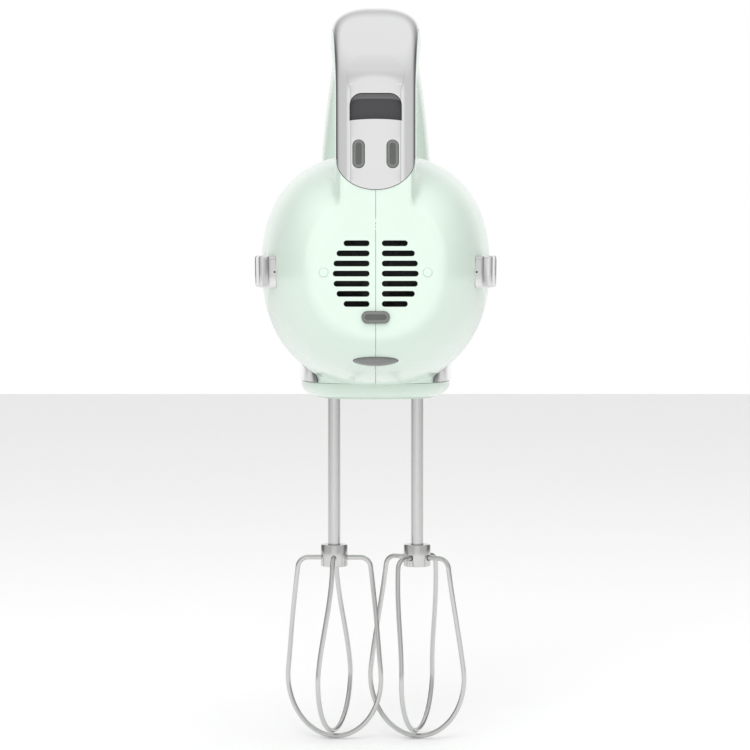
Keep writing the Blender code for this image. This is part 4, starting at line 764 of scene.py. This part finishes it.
def housing_cutters():
    yield hollow_solid()
    yield cut_tongues(trim_solid(TRIM_GAP, 8 * MM, (36, 40, 12, 72), 24), TRIM_GAP)
    yield trim_band(GAP)
    yield bumper_solid(GAP)
    yield from vent_cutters()
    yield prism(foot_outline("heel_foot_lower", -GAP), REAR_Y - 4 * MM, REAR_Y + 1 * MM, along_y)
    yield prism(window_outline(GAP), REAR_Y - 4 * MM, LEG_Y + 10 * MM, along_y)
    for side in (-1, 1):
        place = (side * PLUG_X, 0, PLUG_Z)
        yield cylinder(PLUG_RADIUS + 0.06 * MM, REAR_Y - 4 * MM, REAR_Y + 3.2 * MM, place, (0, 1, 0))
    yield from top_cutters()


def make_housing(materials):
    solid = outer_solid()
    for cutter in housing_cutters():
        cut(solid, cutter)
    far = 0.3
    for label, side in (("left", -1), ("right", 1)):
        half = solid.copy()
        half.data = solid.data.copy()
        half.name = "shell_" + label
        bpy.context.scene.collection.objects.link(half)
        low_x, high_x = sorted((side * SEAM_GAP / 2, side * far))
        keep_inside(half, block((low_x, -far, BASE_SEAM_Z), (high_x, far, 2 * far)))
        half.data.materials.clear()
        half.data.materials.append(materials["enamel"])
        smooth(half, 28)
        place_piece(half, "housing", "shell", "housing_" + label)
    bpy.data.objects.remove(solid)


# ================= Base =================

def make_base(materials):
    low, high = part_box("base_cover")
    pad = 0.7 * MM
    rings = []
    for i in range(13):
        angle = math.pi / 2 * i / 12
        z = low[2] + pad + COVER_ROUND * (1 - math.cos(angle))
        rings.append([along_z(x, y, z) for x, y in pedestal_outline(COVER_ROUND * (1 - math.sin(angle)))])
    rings.append([along_z(x, y, high[2] + 0.15 * MM) for x, y in pedestal_outline(0)])
    cover = loft("cover", rings, materials["enamel"])
    join(cover, prism(pedestal_outline(COVER_ROUND + 1 * MM), low[2], low[2] + 2 * MM, along_z))
    cut(cover, pedestal_solid(COVER_ROUND + 1 * MM, low[2] + pad + 2.2 * MM, high[2] + 5 * MM))
    socket_low, socket_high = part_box("beater_socket_right")
    socket_radius = (socket_high[0] - socket_low[0]) / 2
    for side in (-1, 1):
        place = (side * BEATER_X, BEATER_Y, 0)
        cut(cover, cylinder(socket_radius + GAP, low[2] - 5 * MM, high[2] + 5 * MM, place, (0, 0, 1)))
    for i in range(4):
        node = f"base_screw_{i + 1}"
        screw_low, screw_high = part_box(node)
        x, y = (screw_low[0] + screw_high[0]) / 2, (screw_low[1] + screw_high[1]) / 2
        cut(cover, cylinder(3.1 * MM, low[2] - 5 * MM, low[2] + 2.7 * MM, (x, y, 0), (0, 0, 1)))
        length = screw_high[2] - screw_low[2]
        make_cross_screw(node + "_head", (x, y, screw_low[2]), length, materials["steel"], node)
    place_piece(smooth(cover), "housing", "shell", "base_cover")
    for label, side in (("left", -1), ("right", 1)):
        make_socket(label, side, materials["rubber"])
    band = trim_band(0, "band", materials["chrome"])
    cut(band, body_solid(-0.3 * MM, 60, 96))
    place_piece(smooth(band), "housing", "chrome", "pedestal_trim")


def make_cross_screw(name, place, length, material, node):
    profile = [(0.6 * MM, 0), (1.9 * MM, 0.05 * MM), (2.6 * MM, 0.4 * MM)]
    profile += [(2.9 * MM, 1.0 * MM), (2.9 * MM, 2.0 * MM)]
    profile += [(1.3 * MM, 2.0 * MM), (1.3 * MM, length - 1.3 * MM), (0.4 * MM, length)]
    piece = turned(name, profile, place, (0, 0, 1), material, steps=40)
    for turn in (0, 90):
        slot = block((-1.7 * MM, -0.35 * MM, -1 * MM), (1.7 * MM, 0.35 * MM, 1.1 * MM))
        slot.data.transform(Matrix.Translation(place) @ Matrix.Rotation(math.radians(turn + 20), 4, "Z"))
        cut(piece, slot)
    place_piece(smooth(piece), "housing", "steel", node)


def make_socket(label, side, material):
    node = "beater_socket_" + label
    low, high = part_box(node)
    outer = (high[0] - low[0]) / 2
    inner = 5.3 * MM
    edge = 0.8 * MM
    profile = [
        (inner, low[2] + edge), (inner + edge * 0.3, low[2] + edge * 0.3), (inner + edge, low[2]),
        (outer - edge, low[2]), (outer - edge * 0.3, low[2] + edge * 0.3), (outer, low[2] + edge),
        (outer, high[2]), (inner, high[2]),
    ]
    place = (side * BEATER_X, BEATER_Y, 0)
    ring = turned("socket_ring_" + label, profile, place, (0, 0, 1), material, hollow=True)
    place_piece(smooth(ring, 50), "housing", "rubber", node)


# ================= Trim and rear details =================

def hood_half_width(z):
    """Half-width of the flat boss up the heel: straight past the feet, flared above the outlet, arched."""
    flare = ease((z - WINDOW_HIGH[2]) / (HOOD_WIDE_Z - WINDOW_HIGH[2]))
    width = HEEL_PAD_HALF_WIDTH + (HOOD_HALF_WIDTH - HEEL_PAD_HALF_WIDTH) * flare
    rise = max(0.0, (z - HOOD_WIDE_Z) / (HOOD_TOP_Z - HOOD_WIDE_Z))
    return width * math.sqrt(max(0.0, 1 - rise**2.4))


def hood_solid():
    """The boss itself: flat across, following the heel's curve upwards."""
    out = TRIM_STANDOUT + HOOD_STANDOUT
    edge = 0.35 * MM
    rings = []
    for y, z, normal, _ in handle_stations(60, 120, 2, 2):
        if z > HOOD_TOP_Z or z < REAR_TONGUE_Z - REAR_TONGUE_DEPTH - 4 * MM:
            continue
        width = hood_half_width(z)
        if width < edge * 2:
            break
        section = [(-width, -HOOD_ROOT), (-width, out - edge)]
        section += [(-width + 0.3 * edge, out - 0.3 * edge), (-width + edge, out)]
        section += [(-u, w) for u, w in reversed(section)]
        rings.append([Vector((u, y, z)) + normal * w for u, w in section])
    return loft("cord_hood", rings)


def make_handle_trim(materials):
    strip = trim_solid(0, TRIM_STANDOUT, (36, 40, 12, 72), 48)
    strip.name = "chrome_strip"
    hood = hood_solid()
    for piece in (strip, hood):
        cut_tongues(piece, 0)
        for node in ("heel_foot_left", "heel_foot_right"):
            cut(piece, prism(foot_outline(node, -GAP), REAR_Y - 4 * MM, HEEL_PAD_FACE_Y + 1 * MM, along_y))
        cut(piece, prism(window_outline(GAP), REAR_Y - 4 * MM, LEG_Y + 10 * MM, along_y))
    # The boss gets the slightly darker hood chrome, a painted shade for the dim area under its arch.
    hood.data.materials.clear()
    hood.data.materials.append(materials["hood"])
    place_piece(smooth(hood, 24), "housing", "chrome")
    for cutter in top_cutters():
        cut(strip, cutter)
    cut(strip, prism(display_outline(-GAP), -1.6 * MM, 6 * MM, display_place))
    strip.data.materials.clear()
    strip.data.materials.append(materials["chrome"])
    place_piece(smooth(strip, 32), "housing", "chrome", "handle_trim")
    # A thin black liner sunk below the strip's edges, painting the shadow of the gap round the strip.
    gap_liner = trim_solid(GAP_LINER_WIDTH, -GAP_LINER_SINK, (36, 40, 12, 72), 24)
    cut_tongues(gap_liner, GAP_LINER_WIDTH)
    core = trim_solid(-0.4 * MM, 3 * MM, (36, 40, 12, 72), 24)
    cut(gap_liner, cut_tongues(core, -0.4 * MM))
    gap_liner.name = "trim_gap_shadow_liner"
    gap_liner.data.materials.clear()
    gap_liner.data.materials.append(materials["satin"])
    place_piece(smooth(gap_liner, 32), "housing", "rubber")


def make_feet(materials):
    for node in ("heel_foot_left", "heel_foot_right", "heel_foot_lower"):
        low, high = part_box(node)

        def outward(u, v, w):
            return Vector((u, -w, v))

        def outline(inset, node=node):
            return foot_outline(node, inset)

        # The rim and dish take the lighter rubber, a painted highlight. Only the flat face keeps the dark
        # rubber.
        rim = materials["rubber_rim_highlight"]
        foot = pillow(node + "_rubber", outline, -high[1], -low[1], 0.45 * MM, outward, rim, dish=0.35 * MM)
        foot.data.materials.append(materials["rubber"])
        face = max(foot.data.polygons, key=lambda p: (p.normal.y < -0.9, p.area))
        face.material_index = 1
        place_piece(foot, "housing", "rubber", node)
    bumper = bumper_solid(0, "tail_rest", materials["pad_rubber"])
    place_piece(smooth(bumper, 60), "housing", "rubber", "tail_bumper")


def make_inlet(materials):
    front = WINDOW_LOW[1]
    body = prism(window_outline(0), front, WINDOW_HIGH[1], along_y, "inlet_hood", materials["recess"])
    low, high = WINDOW_LOW[2] - 1 * MM, WINDOW_HIGH[2] + 1 * MM
    slope = [(front - 3 * MM, high), (front - 3 * MM, low)]
    for i in range(21):
        t = 1 - i / 20
        slope.append((front + 0.2 * MM + WINDOW_DEPTH * t**1.4, high - (high - low) * t))
    reach = WINDOW_HIGH[0] + 1 * MM
    cut(body, prism(slope, -reach, reach, lambda u, v, w: Vector((w, u, v))))
    place_piece(smooth(body, 40), "housing", "dark_plastic", "cord_inlet")


def make_plugs(materials):
    for label, side in (("left", -1), ("right", 1)):
        radius = PLUG_RADIUS
        profile = [(radius, 1.2 * MM), (radius, 0.05 * MM), (radius - 0.1 * MM, -0.04 * MM)]
        profile += [(radius - 0.4 * MM, -0.1 * MM), (0.2 * MM, -0.1 * MM)]
        place = (side * PLUG_X, REAR_Y, PLUG_Z)
        plug = turned("plug_" + label, profile, place, (0, 1, 0), materials["enamel"], 48)
        place_piece(smooth(plug, 50), "housing", "shell", "screw_plug_" + label)


def make_badges(materials):
    """Four rounded bars on a rail, lying on the flank's curve."""
    low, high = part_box("badge_right")
    length = BADGE_PITCH * (BADGE_BARS - 1) + BADGE_BAR_LENGTH
    for label, side in (("left", -1), ("right", 1)):

        def on_flank(u, v, w, side=side):
            return Vector((side * (body_side_x(u, v) + w), u, v))

        def bar(start, bar_length, height, corner, inset):
            centre = (start + bar_length / 2, (low[2] + high[2]) / 2)
            half_length, half_height = bar_length / 2 - inset, height / 2 - inset
            return rounded_box(half_length, half_height, corner - inset * 0.6, centre, steps=6)

        rail = pillow(
            "rail_" + label, lambda inset: bar(low[1], length, 3 * MM, 1.2 * MM, inset), 0.1 * MM, 1.2 * MM,
            0.4 * MM, on_flank, materials["badge"],
        )
        place_piece(rail, "housing", "chrome", "badge_" + label)
        for i in range(BADGE_BARS):
            start = low[1] + i * BADGE_PITCH

            def outline(inset, start=start):
                return bar(start, BADGE_BAR_LENGTH, high[2] - low[2], 1.8 * MM, inset)

            name = f"bar_{label}_{i + 1}"
            piece = pillow(name, outline, 0.1 * MM, BADGE_THICKNESS, 0.8 * MM, on_flank, materials["badge"])
            place_piece(piece, "housing", "chrome")


# ================= Controls =================

def display_place(u, v, w):
    """A point of the display: u across, v along the handle, w out of its surface."""
    low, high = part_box("display_lens")
    y = (low[1] + high[1]) / 2
    t = (y - FRONT_ARC_Y) / FRONT_ARC_LENGTH
    slope = -FRONT_ARC_HEIGHT / FRONT_ARC_LENGTH * t / math.sqrt(1 - t * t)
    along = Vector((0, 1, slope)).normalized()
    out = Vector((0, -slope, 1)).normalized()
    return Vector((u, y, handle_top_z(y))) + along * v + out * w


def display_outline(inset):
    return rounded_box(9.5 * MM - inset, 6 * MM - inset, 2 * MM - inset * 0.5)


def make_controls(materials):
    glass = materials["gloss"]
    lens = pillow("display_glass", display_outline, -1.3 * MM, 0.5 * MM, 0.4 * MM, display_place, glass)
    place_piece(lens, "housing", "dark_plastic", "display_lens")
    for node, flange in BUTTON_FLANGES.items():
        low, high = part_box(node)
        radius = 3 * MM if node == "eject_button" else 2 * MM

        def outline(inset, node=node, radius=radius, flange=flange):
            return button_outline(node, inset, radius, flange)

        edge = 1.2 * MM if node == "eject_button" else 0.7 * MM
        cap = pillow(node + "_cap", outline, low[2], high[2], edge, along_z, materials["satin"])
        place_piece(cap, "ejector" if node == "eject_button" else node, "dark_plastic", node)
    for node, arms in (("plus_button", (0, 90)), ("minus_button", (0,)), ("turbo_button", (0, 0))):
        make_mark(node, arms, materials["mark"])


def make_mark(node, arms, material):
    """A raised sign on a button: a cross, a bar, or two bars."""
    low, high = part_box(node)
    centre = ((low[0] + high[0]) / 2, (low[1] + high[1]) / 2)
    half_length, half_width = 1.9 * MM, 0.38 * MM
    for index, turn in enumerate(arms):
        half = (half_length, half_width) if turn == 0 else (half_width, half_length)
        shift = 0.9 * MM * (2 * index - 1) if arms == (0, 0) else 0
        lift = 0.02 * MM * index

        def outline(inset, half=half, shift=shift):
            place = (centre[0], centre[1] + shift)
            return rounded_box(half[0] - inset, half[1] - inset, half_width - inset, place, steps=5)

        name, top = f"{node}_mark_{index + 1}", high[2] + 0.16 * MM + lift
        piece = pillow(name, outline, high[2] - 0.1 * MM, top, 0.1 * MM, along_z, material)
        place_piece(piece, node, "dark_plastic")


# ================= Beaters =================

def wire(name, path, radius, material, sides=18):
    rings = []
    across = None
    for i, point in enumerate(path):
        before, after = path[max(0, i - 1)], path[min(len(path) - 1, i + 1)]
        along = (after - before).normalized()
        if across is None:
            across = along.orthogonal().normalized()
        across = (across - along * across.dot(along)).normalized()
        up = along.cross(across)
        angles = [2 * math.pi * k / sides for k in range(sides)]
        rings.append([point + radius * (across * math.cos(a) + up * math.sin(a)) for a in angles])
    return loft(name, rings, material)


def loop_half(tip_z):
    """(radius, height) down one half of a wire loop, from its end in the collar to the tip."""
    points = [(COLLAR_RADIUS - 2.1 * MM, WIRE_EXIT_Z), (COLLAR_RADIUS + 1 * MM, WIRE_EXIT_Z)]
    turn = math.radians(KNEE_TURN)
    centre = CAGE_TOP_RADIUS - KNEE_RADIUS * math.sin(turn)
    for i in range(15):
        angle = turn * i / 14
        drop = KNEE_RADIUS * (1 - math.cos(angle))
        points.append((centre + KNEE_RADIUS * math.sin(angle), WIRE_EXIT_Z - drop))
    curve = []
    for i in range(41):
        angle = math.radians(-CAGE_TANGENT + (90 + CAGE_TANGENT) * i / 40)
        drop = (CAGE_WIDEST_Z - tip_z) * math.sin(angle)
        curve.append((CAGE_RADIUS * math.cos(angle), CAGE_WIDEST_Z - drop))
    start = points[-1]
    for i in range(1, 20):
        points.append(tuple(a + (b - a) * i / 20 for a, b in zip(start, curve[0])))
    return points + curve


def loop_path(centre, phase, tip_z):
    half = loop_half(tip_z)
    path = []
    for sign, points in ((1, half), (-1, half[-2::-1])):
        for radius, z in points:
            share = ease((WIRE_EXIT_Z - z) / (WIRE_EXIT_Z - CAGE_WIDEST_Z))
            angle = math.radians(phase[0] + (phase[1] - phase[0]) * share)
            offset = sign * radius
            x, y = centre[0] + offset * math.cos(angle), centre[1] + offset * math.sin(angle)
            path.append(Vector((x, y, z)))
    return path


def make_beater(label, side, material):
    centre = (side * BEATER_X, BEATER_Y, 0)
    name = "beater_" + label
    low, high = COLLAR_LOW[2], COLLAR_HIGH[2]
    radius = (SHAFT_HIGH[0] - SHAFT_LOW[0]) / 2
    top = SHAFT_HIGH[2]
    profile = [(radius - 0.4 * MM, low + 0.3 * MM), (radius, low + 0.7 * MM), (radius, top - 9 * MM)]
    profile += [(radius - 0.5 * MM, top - 8.4 * MM), (radius - 0.5 * MM, top - 7.4 * MM)]
    profile += [(radius, top - 6.8 * MM), (radius, top - 1 * MM), (radius - 0.9 * MM, top)]
    shaft = turned(name + "_rod", profile, centre, (0, 0, 1), material, 48)
    place_piece(smooth(shaft), name, "steel", name + "_shaft")
    inner = radius + 0.12 * MM
    edge = 0.5 * MM
    profile = [(COLLAR_RADIUS, low + edge), (COLLAR_RADIUS, high - edge)]
    profile += [(COLLAR_RADIUS - edge * 0.3, high - edge * 0.3), (COLLAR_RADIUS - edge, high)]
    profile += [(inner, high), (inner, low), (COLLAR_RADIUS - edge, low)]
    profile += [(COLLAR_RADIUS - edge * 0.3, low + edge * 0.3)]
    collar = turned(name + "_ferrule", profile, centre, (0, 0, 1), material, 96, hollow=True)
    for index, rise in enumerate((0, LOOP_RISE)):
        phase = [angle + 90 * index for angle in PHASES[label]]
        path = loop_path(centre, phase, WIRE_RADIUS + rise)
        loop = wire(f"{name}_wire_{index + 1}", path, WIRE_RADIUS, material)
        place_piece(smooth(loop, 60), name, "steel", f"{name}_loop_{index + 1}")
        angle = math.radians(phase[0])
        for direction in (-1, 1):
            along = (direction * math.cos(angle), direction * math.sin(angle), 0)
            reach = (COLLAR_RADIUS - 2.2 * MM, COLLAR_RADIUS + 5 * MM)
            place = (centre[0], centre[1], WIRE_EXIT_Z)
            cut(collar, cylinder(WIRE_RADIUS + 0.25 * MM, *reach, place, along, 32))
    place_piece(smooth(collar), name, "steel", name + "_collar")


# ================= Stage =================

def make_floor(material):
    half = 3.0
    obj = block((-half, -half, -0.02), (half, half, -0.0002))
    obj.name = "floor"
    obj.data.materials.append(material)


def add_area(name, place, target, size, power):
    light = bpy.data.lights.new(name, "AREA")
    light.shape = "RECTANGLE"
    light.size, light.size_y = size
    light.energy = power
    obj = bpy.data.objects.new(name, light)
    obj.location = place
    obj.rotation_euler = (Vector(target) - Vector(place)).to_track_quat("-Z", "Y").to_euler()
    obj.visible_glossy = False
    obj.visible_camera = False
    bpy.context.scene.collection.objects.link(obj)


def make_lights():
    middle = (0, 0, 0.18)
    add_area("top_soft", (0.1, -0.5, 1.3), middle, (1.2, 0.8), 5)
    add_area("front_soft", (-0.3, -1.9, 1.5), middle, (1.2, 1.0), 17)
    make_world()


def make_world():
    """A white studio: bright before and above the object, with dimmer walls at the sides for it to mirror."""
    world = bpy.data.worlds.new("studio")
    world.use_nodes = True
    tree = world.node_tree
    background = tree.nodes["Background"]
    coordinates = tree.nodes.new("ShaderNodeTexCoord")
    parts = tree.nodes.new("ShaderNodeSeparateXYZ")
    tree.links.new(coordinates.outputs["Generated"], parts.inputs["Vector"])
    along = map_range(tree, parts.outputs["Y"], -1, 1, 0, 1)
    ramp = tree.nodes.new("ShaderNodeValToRGB")
    ramp.color_ramp.elements[0].position = ROOM_STOPS[0][0]
    ramp.color_ramp.elements[1].position = ROOM_STOPS[-1][0]
    for place, _ in ROOM_STOPS[1:-1]:
        ramp.color_ramp.elements.new(place)
    for element, (_, shade) in zip(ramp.color_ramp.elements, ROOM_STOPS):
        element.color = (shade, shade, shade, 1)
    tree.links.new(along, ramp.inputs["Fac"])
    up = map_range(tree, parts.outputs["Z"], 0.35, 0.85, 0, 1)
    mix = tree.nodes.new("ShaderNodeMixRGB")
    mix.inputs["Color2"].default_value = (0.9, 0.9, 0.9, 1)
    tree.links.new(up, mix.inputs["Fac"])
    tree.links.new(ramp.outputs["Color"], mix.inputs["Color1"])
    seen = tree.nodes.new("ShaderNodeLightPath")
    plain = tree.nodes.new("ShaderNodeMixRGB")
    plain.inputs["Color1"].default_value = (ROOM_SHADE, ROOM_SHADE, ROOM_SHADE, 1)
    plain.inputs["Color2"].default_value = (1, 1, 1, 1)
    tree.links.new(seen.outputs["Is Camera Ray"], plain.inputs["Fac"])
    room = tree.nodes.new("ShaderNodeMixRGB")
    tree.links.new(seen.outputs["Is Glossy Ray"], room.inputs["Fac"])
    tree.links.new(plain.outputs["Color"], room.inputs["Color1"])
    tree.links.new(mix.outputs["Color"], room.inputs["Color2"])
    tree.links.new(room.outputs["Color"], background.inputs["Color"])
    background.inputs["Strength"].default_value = 1.0
    bpy.context.scene.world = world


def map_range(tree, source, low, high, to_low, to_high):
    node = tree.nodes.new("ShaderNodeMapRange")
    for name, value in (("From Min", low), ("From Max", high), ("To Min", to_low), ("To Max", to_high)):
        node.inputs[name].default_value = value
    tree.links.new(source, node.inputs["Value"])
    return node.outputs["Result"]


def make_camera():
    data = bpy.data.cameras.new("camera")
    data.lens = CAMERA_LENS
    data.shift_x = CAMERA_SHIFT_X
    data.sensor_width = 36
    data.clip_start = 0.05
    obj = bpy.data.objects.new("camera", data)
    obj.location = CAMERA_PLACE
    obj.rotation_euler = (math.pi / 2 - CAMERA_PITCH, 0, 0)
    bpy.context.scene.collection.objects.link(obj)
    bpy.context.scene.camera = obj


def main():
    make_camera()
    materials = make_materials()
    dress_carried_nodes(materials)
    make_housing(materials)
    make_base(materials)
    make_handle_trim(materials)
    make_feet(materials)
    make_inlet(materials)
    make_plugs(materials)
    make_badges(materials)
    make_controls(materials)
    make_beater("left", -1, materials["steel"])
    make_beater("right", 1, materials["steel"])
    make_floor(materials["floor"])
    make_lights()
    bpy.context.scene.view_settings.view_transform = "Standard"


main()
